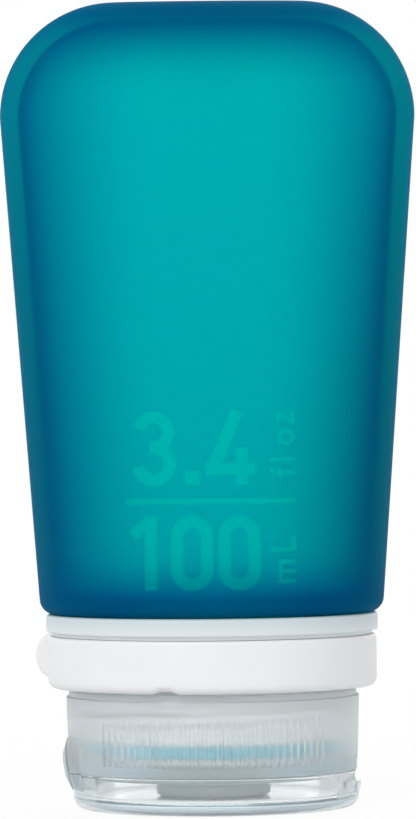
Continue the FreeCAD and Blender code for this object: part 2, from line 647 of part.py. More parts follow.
def build_lid_hinge():
    """Thin strap that lies on the two lands and bends at the seam."""
    body = add_body("lid_hinge")
    sketch = add_sketch(body, "hinge_outline", "XZ_Plane")
    stations = (
        ("Places.hinge_lid_face", "Places.seam - Sizes.hinge_drop"),
        ("Places.hinge_seam_face", "Places.seam"),
        ("Places.hinge_cap_face", "Places.seam + Sizes.hinge_knee"),
        ("Places.hinge_cap_face", "Places.seam + Sizes.hinge_top"),
    )
    near = [(f"-({face} + Sizes.seat_gap)", up) for face, up in stations]
    far = [(f"-({face} + Sizes.seat_gap + Sizes.hinge_web)", up) for face, up in stations]
    polygon(sketch, near + far[::-1])
    extrude(body, "hinge_strap", "Pad", sketch, "Sizes.hinge_width", symmetric=True)
    return body


def check(parts):
    """Stops before anything is written if a feature failed or a piece is not one sound solid."""
    failed = [item.Label for item in doc.Objects if {"Invalid", "Error"} & set(item.State)]
    unsound = [part.Label for part in parts
               if part.Shape.isNull() or not part.Shape.isValid() or len(part.Shape.Solids) != 1]
    if failed or unsound:
        raise RuntimeError(f"failed features: {failed}, unsound pieces: {unsound}")


doc = FreeCAD.newDocument("squeeze_bottle")
sizes = fill_sheet("Sizes", SIZES, "")
places = fill_sheet("Places", PLACES, "=")
pieces = [
    build_bottle_body(),
    build_neck_collar(),
    build_hang_ring(),
    build_screw_cap(),
    build_seal_washer(),
    build_spout_valve(),
    build_valve_retainer(),
    build_flip_lid(),
    build_lid_hinge(),
]
doc.recompute()
check(pieces)
os.makedirs("parts", exist_ok=True)
for piece in pieces:
    piece.Shape.exportStep(f"parts/{piece.Label}.step")
    print(piece.Label, round(piece.Shape.Volume, 1))
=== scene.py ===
import math

import bmesh
import bpy
import numpy as np
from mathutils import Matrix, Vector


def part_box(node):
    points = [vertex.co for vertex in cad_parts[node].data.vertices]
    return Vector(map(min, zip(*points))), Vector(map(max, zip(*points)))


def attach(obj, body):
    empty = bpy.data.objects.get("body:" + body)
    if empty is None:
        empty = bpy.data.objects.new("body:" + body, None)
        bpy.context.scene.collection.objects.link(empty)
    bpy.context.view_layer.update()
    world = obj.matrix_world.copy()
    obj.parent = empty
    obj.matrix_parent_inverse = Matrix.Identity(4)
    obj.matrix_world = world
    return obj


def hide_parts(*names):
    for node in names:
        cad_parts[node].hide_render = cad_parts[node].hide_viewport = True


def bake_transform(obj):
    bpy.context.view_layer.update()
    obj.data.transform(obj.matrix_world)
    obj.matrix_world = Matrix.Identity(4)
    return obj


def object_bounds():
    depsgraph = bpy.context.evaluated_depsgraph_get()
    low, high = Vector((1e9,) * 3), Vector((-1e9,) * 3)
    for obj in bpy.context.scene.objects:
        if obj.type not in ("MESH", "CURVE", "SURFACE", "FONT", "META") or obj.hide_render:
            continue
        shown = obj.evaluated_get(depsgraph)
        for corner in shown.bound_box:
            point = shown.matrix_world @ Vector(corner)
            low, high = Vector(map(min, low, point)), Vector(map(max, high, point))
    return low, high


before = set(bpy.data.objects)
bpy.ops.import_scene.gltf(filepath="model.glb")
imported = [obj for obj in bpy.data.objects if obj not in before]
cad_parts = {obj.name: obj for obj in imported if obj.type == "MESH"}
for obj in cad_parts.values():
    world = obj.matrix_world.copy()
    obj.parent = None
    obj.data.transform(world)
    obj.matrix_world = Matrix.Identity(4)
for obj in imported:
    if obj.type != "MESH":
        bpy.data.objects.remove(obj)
cad_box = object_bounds()

MM = 0.001
FULL_TURN = 2 * math.pi
FRONT = -math.pi / 2
BACK = math.pi / 2
HINGE_SIDE = math.pi
THUMB_SIDE = 0.0
HAIR = 0.01    # millimetres within which two heights or radii count as the same
NEAR = 0.05    # the same, where a rounding lies between them
TINY = 1e-6    # keeps a divisor from being nothing
MERGED = 1e-8    # metres within which points are joined
FINE_ANGLES = 7200    # angles round a turn from which columns are picked

# Roundings of edges that have none of their own.
CRISP, EASED, SOFT = 0.1, 0.2, 0.3


def span(node):
    """Lowest and highest corner of a solid, in millimetres."""
    low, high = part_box(node)
    return np.array(low) / MM, np.array(high) / MM


# Places read from the solids, in millimetres.
body_low, body_high = span("bottle_body")
collar_low, collar_high = span("neck_collar")
ring_low, ring_high = span("hang_ring")
cap_low, cap_high = span("screw_cap")
_, lid_high = span("flip_lid")
valve_low, valve_high = span("spout_valve")
_, hinge_high = span("lid_hinge")

# Silicone body.
BODY_TOP = body_high[2]
LIP_LOW = body_low[2]
SHOULDER = collar_high[2]
SHOULDER_RADIUS = 24.65
SHOULDER_ROUND = 2.2
SHOULDER_WALL = 2.4
END_HALF_WIDTH = 29.9
END_HALF_DEPTH = 10.2
END_ROUND = 16.6
END_FLAT = 1.4
BODY_WALL = 2.8
FLOOR_ROUND = 1.6
MOUTH_RADIUS = 14.9
SLEEVE_RADIUS = 16.3
LIP_RADIUS = 18.15
LIP_HEIGHT = 1.75
LIP_ROUND = 0.5
MOUTH_ROUND = 0.4
FLOOR_EDGE_ROUND = 0.6
UNDERSIDE_WIDTH = 4.0
FLOOR_WIDTH = 3.0
DOME = BODY_TOP - END_ROUND
END_ROWS, INNER_END_ROWS = 26, 20
WALL_ROWS, MARKED_ROWS, FOOT_ROWS = 22, 132, 3
BODY_COLUMNS, SLEEVE_STEP = 250, 2.5
MARKS_LOW, MARKS_HIGH = 31.0, 58.5
MARKS_FAN = math.radians(31)

# Where painted shade darkens the silicone's colour: by the cosine from the front, and by height.
SIDE_FROM, SIDE_TO = 0.25, 1.15
EDGE_FROM, EDGE_TO = 0.85, 1.0
EDGE_SHADE = 0.7
END_FROM, END_TO = DOME + 4.0, BODY_TOP - 2.0
FOOT_FROM, FOOT_TO = 38.0, 30.5
FOOT_SHADE = 0.65
# Share of the diffuse dye in the silicone; the lip's larger share, of a bright teal, is a painted glow.
DYE_SHARE, LIP_GLOW_SHARE = 0.2, 0.75

# Thread, on the collar and in the cap.
THREAD_PITCH = 3.6
THREAD_DEPTH = 1.1
THREAD_ROOT = 1.9
THREAD_CREST = 1.0
NECK_TURNS = 1.25
CAP_TURNS = 0.75
THREAD_RUN_OUT = 0.06
NECK_THREAD = 10.85
CAP_THREAD = NECK_THREAD + THREAD_PITCH / 2

# Collar and hang ring.
COLLAR_BORE = 16.35
NECK_RADIUS = 17.85
FLANGE_RADIUS = collar_high[1]
FLANGE_LOW = 25.4
STEP_RADIUS = 23.0
STEP_HEIGHT = 0.55
BEAD_RADIUS = 18.85
BEAD_LOW, BEAD_HIGH = 19.5, 20.9
FLANGE_ROUND, NECK_ROUND = 0.4, 0.4
COLLAR_COLUMNS, COLLAR_STEP = 200, 0.35
RING_RADIUS = -ring_low[1]
RING_BORE = 21.9
RING_LOW, RING_HIGH = ring_low[2], ring_high[2]
WEB_BORE = 18.2
RING_FOOT_ROUND, RING_TOP_ROUND = 1.3, 0.5
RING_COLUMNS, RING_STEP = 220, 0.8
WEB_LOW, WEB_HIGH = 21.2, 22.7
NOTCH_ANGLE = FRONT - math.radians(17)
NOTCH_WIDTH = 4.2
NOTCH_HEIGHT = 0.4
NOTCH_FAN = math.radians(7)
NOTCH_FLANK, NOTCH_FADE = 1.5, 2.0
TAB_ANGLE = math.radians(141)
TAB_END = 29.55
TAB_HEIGHT = 7.1
TAB_THICKNESS = 2.4
TAB_HOLE = 1.5
TAB_HOLE_SETBACK = 0.8
TAB_RIM_ROUND = 0.9
TAB_HOLE_ROUND = 0.1
TAB_FLARE = 0.9
TAB_ROOT = 0.6
TAB_COLUMNS, TAB_STEP = 120, 0.1

# Cap.
CAP_BORE = 19.45
CAP_RADIUS = cap_high[0]
CAP_FOOT = CAP_RADIUS - 0.3
DECK_RADIUS = CAP_FOOT - 0.1
RIM = cap_high[2]
RIM_STEP = 0.4
RIM_STEP_HEIGHT = 1.0
SEAM = 5.3
DECK_TOP = SEAM + 2.0
BAND_TOP = SEAM + 1.5
RIB_RADIUS = cap_high[1]
RIB_LOW, RIB_HIGH = 7.2, 13.5
RIB_FAN = math.radians(96)
RIB_COUNT = 31
RIB_WIDTH = 0.62
RIB_FOOT_FADE, RIB_END_FADE = 0.25, 0.5
SPOUT_RADIUS = 8.2
SPOUT_END = cap_low[2]
SPOUT_SKIN = 2.2
SPOUT_FACE = 0.3
SPOUT_ROUND, DECK_ROUND, RIM_ROUND = 0.5, 0.4, 0.15
CAP_RIB_SPARE, CAP_HINGE_FAN = 0.03, 0.32
CAP_COLUMNS, CAP_STEP = 560, 0.55
ORIFICE_RADIUS = 3.2
VALVE_SEAT = 6.6
VALVE_LOW, VALVE_HIGH = valve_low[2], valve_high[2]
SNAP_RADIUS = 17.25
SNAP_WALL = 1.0
SNAP_HEIGHT = 0.9

# Valve, its retainer and the washer.
VALVE_EYE = 3.9
VALVE_DISH = 0.3
VALVE_SKIN_LOW, VALVE_SKIN_HIGH = VALVE_LOW + 0.2, VALVE_LOW + 0.8
VALVE_LOWER_ROUND, VALVE_UPPER_ROUND = 0.05, 0.02
SLIT_REACH, SLIT_WIDTH = 1.8, 0.12
VALVE_COLUMNS, VALVE_STEP = 144, 0.15
RETAINER_BORE, RETAINER_ROUND = 4.85, 0.2
WASHER_BORE, WASHER_ROUND = 15.2, 0.15
BAND_COLUMNS, BAND_STEP = 160, 0.6

# Lid.
LID_RADIUS = lid_high[1]
LID_TOP = lid_high[2]
LID_OFFSET = 0.4
LID_BORE = 17.9
LID_FLOOR = 1.7
FOOT_ROUND = 1.6
FOOT_SKIN, FOOT_FADE = 1.9, 0.7
LID_VEIL = 0.03
# Painted shade down the lid's two sides, toward the thumb and the hinge: its share and its reach in angle.
SIDE_SHADE = 0.9
SIDE_REACH, SIDE_FADE = 0.62, 0.06
LABEL_RADIUS = 13.0
LABEL_DEPTH = 0.3
LABEL_ROUND, LID_RIM_ROUND, LID_FLOOR_ROUND = 0.15, 0.25, 0.6
PLUG_RADIUS = 2.85
PLUG_BORE = 1.6
PLUG_TOP = 2.8
THUMB_TIP = lid_high[0]
THUMB_PLAN = 14.0
THUMB_LOW, THUMB_TOP = 1.2, 3.7
THUMB_TAPER = 2.2
THUMB_FAN = 0.5
SCOOP_RADIUS = 0.9
SCOOP_DEPTH = 0.65
SCOOP_COSINE = 0.5
LID_WALL_FOOT, LID_BAND = 0.5, 0.3
LID_THUMB_FAN, LID_HINGE_FAN = 0.55, 0.34
LID_COLUMNS, LID_STEP = 330, 0.22

# Living hinge.
HINGE_HALF_WIDTH = hinge_high[1]
HINGE_WEB = 0.5
HINGE_GAP = 0.05
LAND_FAN = math.pi / 3
LAND_MELT, LAND_FADE = 2.5, 0.1
STRAP_END, STRAP_FADE = 0.1, 0.3
STRAP_ROWS, STRAP_STEP = 41, 1.0
HINGE_HEIGHTS = (2.9, SEAM, 8.0, 10.1)
HINGE_FACES = (20.05, 20.65, 21.0, 20.9)


def unit(vector):
    """Direction of a vector: the vector over its length."""
    return vector / np.linalg.norm(vector)


def smooth(share):
    """Smooth step: 0 below 0, 1 above 1, with level ends."""
    share = np.clip(share, 0, 1)
    return share * share * (3 - 2 * share)


def rounded(corners, closed=False, steps=5):
    """Outline through (across, up, rounding) corners, each corner an arc that is tangent to its two sides."""
    spots = np.array([corner[:2] for corner in corners], float)
    stretches = []
    for index, (*_, radius) in enumerate(corners):
        here = spots[index]
        if radius == 0 or not closed and index in (0, len(corners) - 1):
            stretches.append(here[None])
            continue
        back = unit(spots[index - 1] - here)
        onward = unit(spots[(index + 1) % len(spots)] - here)
        half = math.acos(back @ onward) / 2
        centre = here + unit(back + onward) * radius / math.sin(half)
        reach = radius / math.tan(half)
        swept = math.pi - 2 * half
        share = np.linspace(0, 1, steps + 1)[:, None]
        first = (here + back * reach - centre) * np.sin((1 - share) * swept)
        last = (here + onward * reach - centre) * np.sin(share * swept)
        stretches.append(centre + (first + last) / math.sin(swept))
    return np.concatenate(stretches)


def divided(outline, longest, closed=False):
    """The same outline with no side longer than a given length, or a length for each height."""
    ends = np.concatenate([outline, outline[:1]]) if closed else outline
    counts = np.ceil(np.hypot(*np.diff(ends, axis=0).T) / longest).astype(int)
    sides = [np.linspace(a, b, max(n, 1), endpoint=False) for a, b, n in zip(ends, ends[1:], counts)]
    return np.concatenate(sides if closed else sides + [outline[-1:]])


def from_angle(angles, centre):
    """Angle from a direction, between minus and plus half a turn."""
    return (angles - centre + math.pi) % FULL_TURN - math.pi


def crowded(count, *fans):
    """Angles round a turn, closer together in each fan of (centre, half width, how many times closer): equal
    shares of a weight that is summed up round the turn."""
    fine = np.linspace(0, FULL_TURN, FINE_ANGLES, endpoint=False)
    weight = np.ones_like(fine)
    for centre, half, closer in fans:
        weight = np.maximum(weight, np.where(np.abs(from_angle(fine, centre)) < half, closer, 1))
    covered = np.cumsum(weight) / weight.sum()
    return np.interp(np.arange(count) / count, covered, fine)


def spun(radius, height, angles, centre=0.0):
    """Points at a radius and a height, over rows and columns, turned by the columns' angles about an axis."""
    x = centre + radius * np.cos(angles)
    y = radius * np.sin(angles)
    return np.stack(np.broadcast_arrays(x, y, height), axis=-1)


def turned(outline, angles):
    """Surface of revolution: each outline point (radius, height) runs round the upright axis."""
    return spun(outline[:, :1], outline[:, 1:], angles)


def thread(angles, height, start, turns):
    """Share of the full ridge at each point: a trapezoid across the rise, that runs out at both ends."""
    share = np.zeros(np.broadcast(angles, height).shape)
    for lap in range(math.ceil(turns)):
        along = angles / FULL_TURN + lap
        away = np.abs(height - start - THREAD_PITCH * along)
        flank = np.clip((THREAD_ROOT / 2 - away) / ((THREAD_ROOT - THREAD_CREST) / 2), 0, 1)
        ends = smooth(along / THREAD_RUN_OUT) * smooth((turns - along) / THREAD_RUN_OUT)
        share = np.maximum(share, flank * ends)
    return share


def add_piece(name, points, wrap_rows=False, sharp=35, marks=None):
    """Mesh over a grid of points in millimetres. Columns close on themselves, rows too when asked, and rows
    that shrink to one point become a pole. The faces are turned outwards by the sign of the volume."""
    rows, columns = points.shape[:2]
    row = np.arange(rows if wrap_rows else rows - 1)[:, None]
    column = np.arange(columns)[None]
    after = (row + 1) % rows
    beside = (column + 1) % columns
    faces = np.stack(np.broadcast_arrays(row * columns + column, row * columns + beside,
                                         after * columns + beside, after * columns + column), axis=-1)
    faces = faces.reshape(-1, 4)
    spots = points.reshape(-1, 3) * MM
    a, b, c, d = (spots[faces[:, side]] for side in range(4))
    volume = np.sum(a * (np.cross(b, c) + np.cross(c, d)))
    if volume < 0:
        faces = faces[:, ::-1]
    mesh = bpy.data.meshes.new(name)
    mesh.from_pydata(spots.tolist(), [], faces.tolist())
    for label, values in (marks or {}).items():
        numbers = values.ravel().astype(np.float32)
        mesh.attributes.new(label, "FLOAT", "POINT").data.foreach_set("value", numbers)
    merge_poles(mesh)
    mesh.shade_smooth()
    mesh.set_sharp_from_angle(angle=math.radians(sharp))
    piece = bpy.data.objects.new(name, mesh)
    bpy.context.scene.collection.objects.link(piece)
    return piece


def merge_poles(mesh):
    """Joins the points that lie on each other, which closes the poles."""
    work = bmesh.new()
    work.from_mesh(mesh)
    bmesh.ops.remove_doubles(work, verts=work.verts, dist=MERGED)
    work.to_mesh(mesh)
    work.free()


def dress(piece, node, material):
    """Stands a piece in for its solid, with its finish."""
    piece.data.materials.append(material)
    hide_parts(node)
    return piece


# Capacity numbers, raised and with a polish on the front, which also carries a painted glow. Every stroke is
# a signed distance in millimetres, below zero inside the stroke, and a figure is the least of its strokes.
FIGURE_HEIGHT = 10.4
STROKE = 1.7
SMALL_STROKE = 0.55
DOT = 2.1
RELIEF = 0.24
RELIEF_EDGE = 0.36
MARK_LEFT, MARK_RIGHT = -11.8, 11.8
UPPER_BASE, LOWER_BASE = 46.6, 32.0
RULE_HEIGHT = 44.4
RULE_WIDTH = 0.8
UNIT_RISE = 0.9


def bar(x, z, start, end, width=STROKE):
    """Straight stroke with flat ends: the larger of the distances across it and past its ends."""
    start, end = np.array(start), np.array(end)
    along = unit(end - start)
    from_x, from_z = x - (start[0] + end[0]) / 2, z - (start[1] + end[1]) / 2
    past = np.abs(from_x * along[0] + from_z * along[1]) - np.linalg.norm(end - start) / 2
    across = np.abs(from_z * along[0] - from_x * along[1]) - width / 2
    return np.maximum(past, across)


def bend(x, z, centre, radius, first, swept, width=STROKE):
    """Stroke along an arc with flat ends, swept from a first angle in degrees."""
    from_x, from_z = x - centre[0], z - centre[1]
    reach = np.hypot(from_x, from_z)
    middle = math.radians(first + swept / 2)
    turn = np.abs(from_angle(np.arctan2(from_z, from_x), middle))
    past = (turn - math.radians(swept) / 2) * radius
    return np.maximum(past, np.abs(reach - radius) - width / 2)


def oval(x, z, centre, half_width, half_height, width=STROKE):
    """Stroke round an upright oval with straight sides."""
    from_z = np.maximum(np.abs(z - centre[1]) - (half_height - half_width), 0)
    return np.abs(np.hypot(x - centre[0], from_z) - half_width) - width / 2


def figure_one(x, z):
    """Upright stem, with a slanted flag at its top."""
    top = FIGURE_HEIGHT
    return np.minimum(bar(x, z, (3.0, 0), (3.0, top)), bar(x, z, (0.5, top - 2.7), (2.9, top - 0.9)))


def figure_zero(x, z):
    """One oval stroke."""
    return oval(x, z, (2.95, FIGURE_HEIGHT / 2), 2.1, (FIGURE_HEIGHT - STROKE) / 2)


def figure_three(x, z):
    """Two arcs of over two thirds of a turn, one above the other, and a short level stroke between them."""
    middle = FIGURE_HEIGHT / 2 + 0.15
    low, high = (middle - STROKE / 2) / 2, (FIGURE_HEIGHT - STROKE / 2 - middle) / 2
    lower = bend(x, z, (3.2, STROKE / 2 + low), low, -168, 258)
    upper = bend(x, z, (3.1, middle + high), high, -90, 258)
    return np.minimum(np.minimum(lower, upper), bar(x, z, (2.6, middle), (3.3, middle)))


def figure_four(x, z):
    """Level stroke crossed by a short stem, and a slanted stroke from its left end to the top."""
    crossing, stem = 2.3, 5.1
    level = bar(x, z, (0, crossing), (7.0, crossing))
    upright = bar(x, z, (stem, 0), (stem, FIGURE_HEIGHT / 2))
    slanted = bar(x, z, (0.9, crossing - 0.3), (4.5, FIGURE_HEIGHT))
    return np.minimum(np.minimum(level, upright), slanted)


def figure_point(x, z):
    """Square dot on the base line."""
    return bar(x, z, (0, DOT / 2), (DOT, DOT / 2), width=DOT)


def small_bar(along, up, start, end):
    """Straight stroke of the small letters."""
    return bar(along, up, start, end, SMALL_STROKE)


def unit_ml(along, up):
    """Small letters of the metric unit: three stems under a cross stroke, then a stem with a foot."""
    stems = [small_bar(along, up, (at, 0), (at, 2.4)) for at in (0.3, 1.65, 3.0)]
    cross = small_bar(along, up, (0.3, 2.15), (3.0, 2.15))
    stem = small_bar(along, up, (4.7, 0), (4.7, 3.5))
    foot = small_bar(along, up, (4.7, 0.27), (6.6, 0.27))
    return np.minimum.reduce([*stems, cross, stem, foot])


def unit_oz(along, up):
    """Small letters of the customary unit, each of a few straight strokes and arcs."""
    hook = bend(along, up, (1.3, 2.75), 0.5, 60, 120, SMALL_STROKE)
    stem = small_bar(along, up, (0.8, 0), (0.8, 2.75))
    cross = small_bar(along, up, (0.1, 2.15), (1.6, 2.15))
    upright = small_bar(along, up, (2.6, 0), (2.6, 3.5))
    loop = oval(along, up, (5.8, 1.2), 0.9, 0.95, SMALL_STROKE)
    zed = [small_bar(along, up, (7.7, level), (9.4, level)) for level in (0.27, 2.15)]
    slanted = small_bar(along, up, (7.9, 0.3), (9.2, 2.1))
    return np.minimum.reduce([hook, stem, cross, upright, loop, *zed, slanted])


def capacity_marks(x, z):
    """Two plain numbers over and under a rule, and their units, turned to read upwards: the least distance to
    any of their strokes."""
    row = [
        (figure_three, -11.1, UPPER_BASE), (figure_point, -3.6, UPPER_BASE), (figure_four, -0.7, UPPER_BASE),
        (figure_one, -11.4, LOWER_BASE), (figure_zero, -5.6, LOWER_BASE), (figure_zero, 1.0, LOWER_BASE),
    ]
    marks = [figure(x - left, z - base) for figure, left, base in row]
    marks.append(bar(x, z, (MARK_LEFT, RULE_HEIGHT), (MARK_RIGHT, RULE_HEIGHT), RULE_WIDTH))
    marks.append(unit_oz(z - UPPER_BASE - UNIT_RISE, MARK_RIGHT - x))
    marks.append(unit_ml(z - LOWER_BASE - UNIT_RISE, MARK_RIGHT - x))
    return np.minimum.reduce(marks)


def wall_width(height):
    """Half width of the straight side walls, which widen evenly from the shoulder to the end."""
    share = (height - SHOULDER) / (DOME - SHOULDER)
    return SHOULDER_RADIUS + (END_HALF_WIDTH - SHOULDER_RADIUS) * share


def wall_depth(height):
    """Half depth of the front and back walls, which close in evenly up to the end."""
    share = (height - SHOULDER) / (BODY_TOP - SHOULDER)
    return SHOULDER_RADIUS + (END_HALF_DEPTH - SHOULDER_RADIUS) * share


def end_rows(inset, count):
    """Rows (half width, half depth, height) of the rounded end, from its crest down to the straight walls."""
    angle = np.linspace(math.pi / 2, 0, count)
    outside = DOME + END_ROUND * np.sin(angle)
    width = END_HALF_WIDTH - END_ROUND + (END_ROUND - inset) * np.cos(angle)
    depth = END_FLAT + (wall_depth(outside) - END_FLAT - inset) * np.cos(angle)
    rows = np.stack([width, depth, DOME + (END_ROUND - inset) * np.sin(angle)], axis=1)
    return np.concatenate([rows[:1] * (0, 0, 1), rows])


def wall_rows(heights, inset):
    """Rows (half width, half depth, height) of the straight walls, drawn in by an inset."""
    return np.stack([wall_width(heights) - inset, wall_depth(heights) - inset, heights], axis=1)


def round_rows(outline):
    """Rows of a round stretch, whose half width and half depth are one radius."""
    return np.stack([outline[:, 0], outline[:, 0], outline[:, 1]], axis=1)


def corner_rows(rows_from, radius, rising, count=6):
    """Quarter round from a wall's last row inwards: the section shrinks as the height runs out."""
    angle = np.linspace(0, math.pi / 2, count + 1)[1:, None]
    shrink = radius * (1 - np.cos(angle))
    climb = radius * np.sin(angle) * (1 if rising else -1)
    return rows_from + np.concatenate([-shrink, -shrink, climb], axis=1)


def elliptic(width, depth, height, angles):
    """Points on rows of ellipses: half width times the cosine, half depth times the sine, at a height."""
    return np.stack(np.broadcast_arrays(width * np.cos(angles), depth * np.sin(angles), height), axis=-1)


def painted_shade_ramp(value, start, end):
    """How much painted shade there is: it grows with the square of the way from a start to an end."""
    return np.clip((value - start) / (end - start), 0, 1) ** 2


def build_body(material):
    """Silicone shell as one closed skin: elliptic rows run from the crest down the outside, round the
    shoulder, down the sleeve to the lip, and back up the inside to the crest of the hollow. Half width and
    half depth of each row set its ellipse, and the numbers stand out along its normal, which is the
    ellipse's own formula with the two swapped. Painted shade darkens the colour to the two sides, over the
    end and round the shoulder, where the skin curves away; the numbers and the lip carry a painted glow."""
    floor = SHOULDER + SHOULDER_WALL
    plain = np.linspace(DOME, MARKS_HIGH, WALL_ROWS, endpoint=False)
    marked = np.linspace(MARKS_HIGH, MARKS_LOW, MARKED_ROWS, endpoint=False)
    lowest = np.linspace(MARKS_LOW, SHOULDER + SHOULDER_ROUND, FOOT_ROWS)
    outside = wall_rows(np.concatenate([plain[1:], marked, lowest]), 0)
    shoulder = corner_rows(outside[-1], SHOULDER_ROUND, rising=False)
    lip_high = LIP_LOW + LIP_HEIGHT
    sleeve = round_rows(divided(rounded((
        (SLEEVE_RADIUS + UNDERSIDE_WIDTH, SHOULDER, 0),
        (SLEEVE_RADIUS, SHOULDER, EASED),
        (SLEEVE_RADIUS, lip_high, EASED),
        (LIP_RADIUS, lip_high, LIP_ROUND),
        (LIP_RADIUS, LIP_LOW, LIP_ROUND),
        (MOUTH_RADIUS, LIP_LOW, MOUTH_ROUND),
        (MOUTH_RADIUS, floor, FLOOR_EDGE_ROUND),
        (MOUTH_RADIUS + FLOOR_WIDTH, floor, 0),
    ), steps=4), SLEEVE_STEP))
    inner_foot = wall_rows(np.array([floor + FLOOR_ROUND]), BODY_WALL)
    floor_round = corner_rows(inner_foot[0], FLOOR_ROUND, rising=False)[::-1]
    inside = wall_rows(np.linspace(floor + FLOOR_ROUND, DOME, WALL_ROWS), BODY_WALL)
    rows = np.concatenate([end_rows(0, END_ROWS), outside, shoulder, sleeve, floor_round, inside,
                           end_rows(BODY_WALL, INNER_END_ROWS)[-2::-1]])
    angles = crowded(BODY_COLUMNS, (FRONT, MARKS_FAN, 6))
    width, depth, height = rows.T[..., None]
    points = elliptic(width, depth, height, angles)
    on_outside = np.arange(len(rows))[:, None] < END_ROWS + len(outside)
    on_front = on_outside & (np.sin(angles) < 0) & (height < MARKS_HIGH)
    distance = capacity_marks(points[..., 0], points[..., 2])
    raised = smooth(0.5 - distance / RELIEF_EDGE) * on_front
    outward = elliptic(depth, width, 0 * height, angles)
    outward = outward / np.maximum(np.linalg.norm(outward, axis=-1, keepdims=True), TINY)
    points = points + outward * (raised * RELIEF)[..., None]
    # Painted shade: the colour darkens to the sides, more at the outer edges, over the end and at the foot.
    aside = np.abs(np.cos(angles))
    edges = EDGE_SHADE * painted_shade_ramp(aside, EDGE_FROM, EDGE_TO)
    sides = 1 - (1 - painted_shade_ramp(aside, SIDE_FROM, SIDE_TO)) * (1 - edges)
    end = painted_shade_ramp(height, END_FROM, END_TO)
    foot = FOOT_SHADE * painted_shade_ramp(height, FOOT_FROM, FOOT_TO)
    painted_shade = 1 - (1 - sides) * (1 - end) * (1 - foot)
    # Painted glow: the lip below the shoulder is marked to take a bright teal dye in the finish.
    lip = np.broadcast_to(height < SHOULDER, painted_shade.shape)
    piece = add_piece("squeeze_body", points, marks={"polish_and_glow": raised, "painted_shade": painted_shade, "lip": lip})
    return dress(piece, "bottle_body", material)


def build_collar(material):
    """Turned collar: flange with a low step under it, neck with its bead, and the thread that swells from the
    neck."""
    outline = divided(rounded((
        (COLLAR_BORE, SHOULDER, EASED),
        (COLLAR_BORE, collar_low[2], SOFT),
        (NECK_RADIUS, collar_low[2], SOFT),
        (NECK_RADIUS, BEAD_LOW, EASED),
        (BEAD_RADIUS, (BEAD_LOW + BEAD_HIGH) / 2, SOFT),
        (BEAD_RADIUS, BEAD_HIGH, EASED),
        (NECK_RADIUS, BEAD_HIGH, 0),
        (NECK_RADIUS, FLANGE_LOW - STEP_HEIGHT, NECK_ROUND),
        (STEP_RADIUS, FLANGE_LOW - STEP_HEIGHT, CRISP),
        (STEP_RADIUS, FLANGE_LOW, CRISP),
        (FLANGE_RADIUS, FLANGE_LOW, SOFT),
        (FLANGE_RADIUS, SHOULDER, FLANGE_ROUND),
    ), closed=True), COLLAR_STEP, closed=True)
    angles = np.linspace(0, FULL_TURN, COLLAR_COLUMNS, endpoint=False)
    radius, height = outline[:, :1], outline[:, 1:]
    on_neck = np.abs(radius - NECK_RADIUS) < HAIR
    radius = radius + THREAD_DEPTH * thread(angles, height, NECK_THREAD, NECK_TURNS) * on_neck
    piece = add_piece("threaded_collar", spun(radius, height, angles), wrap_rows=True)
    return dress(piece, "neck_collar", material)


def build_ring(material):
    """Turned ring with an inner web. A shallow notch lifts its lower edge at one place, by a smooth bump
    across the angle that fades up the wall. The hang tab is a second closed skin rooted in the ring."""
    outline = divided(rounded((
        (RING_BORE, RING_LOW, SOFT),
        (RING_RADIUS, RING_LOW, RING_FOOT_ROUND),
        (RING_RADIUS, RING_HIGH, RING_TOP_ROUND),
        (RING_BORE, RING_HIGH, SOFT),
        (RING_BORE, WEB_HIGH, SOFT),
        (WEB_BORE, WEB_HIGH, SOFT),
        (WEB_BORE, WEB_LOW, SOFT),
        (RING_BORE, WEB_LOW, SOFT),
    ), closed=True, steps=7), RING_STEP, closed=True)
    angles = crowded(RING_COLUMNS, (NOTCH_ANGLE, NOTCH_FAN, 5))
    across = from_angle(angles, NOTCH_ANGLE) * RING_RADIUS
    lifted = smooth(NOTCH_FLANK * (1 - np.abs(across) / (NOTCH_WIDTH / 2))) * NOTCH_HEIGHT
    height = outline[:, 1:]
    height = height + lifted * smooth(1 - (height - RING_LOW) / NOTCH_FADE)
    piece = add_piece("swivel_ring", spun(outline[:, :1], height, angles), wrap_rows=True)
    tab = build_tab()
    join(piece, tab)
    return dress(piece, "hang_ring", material)


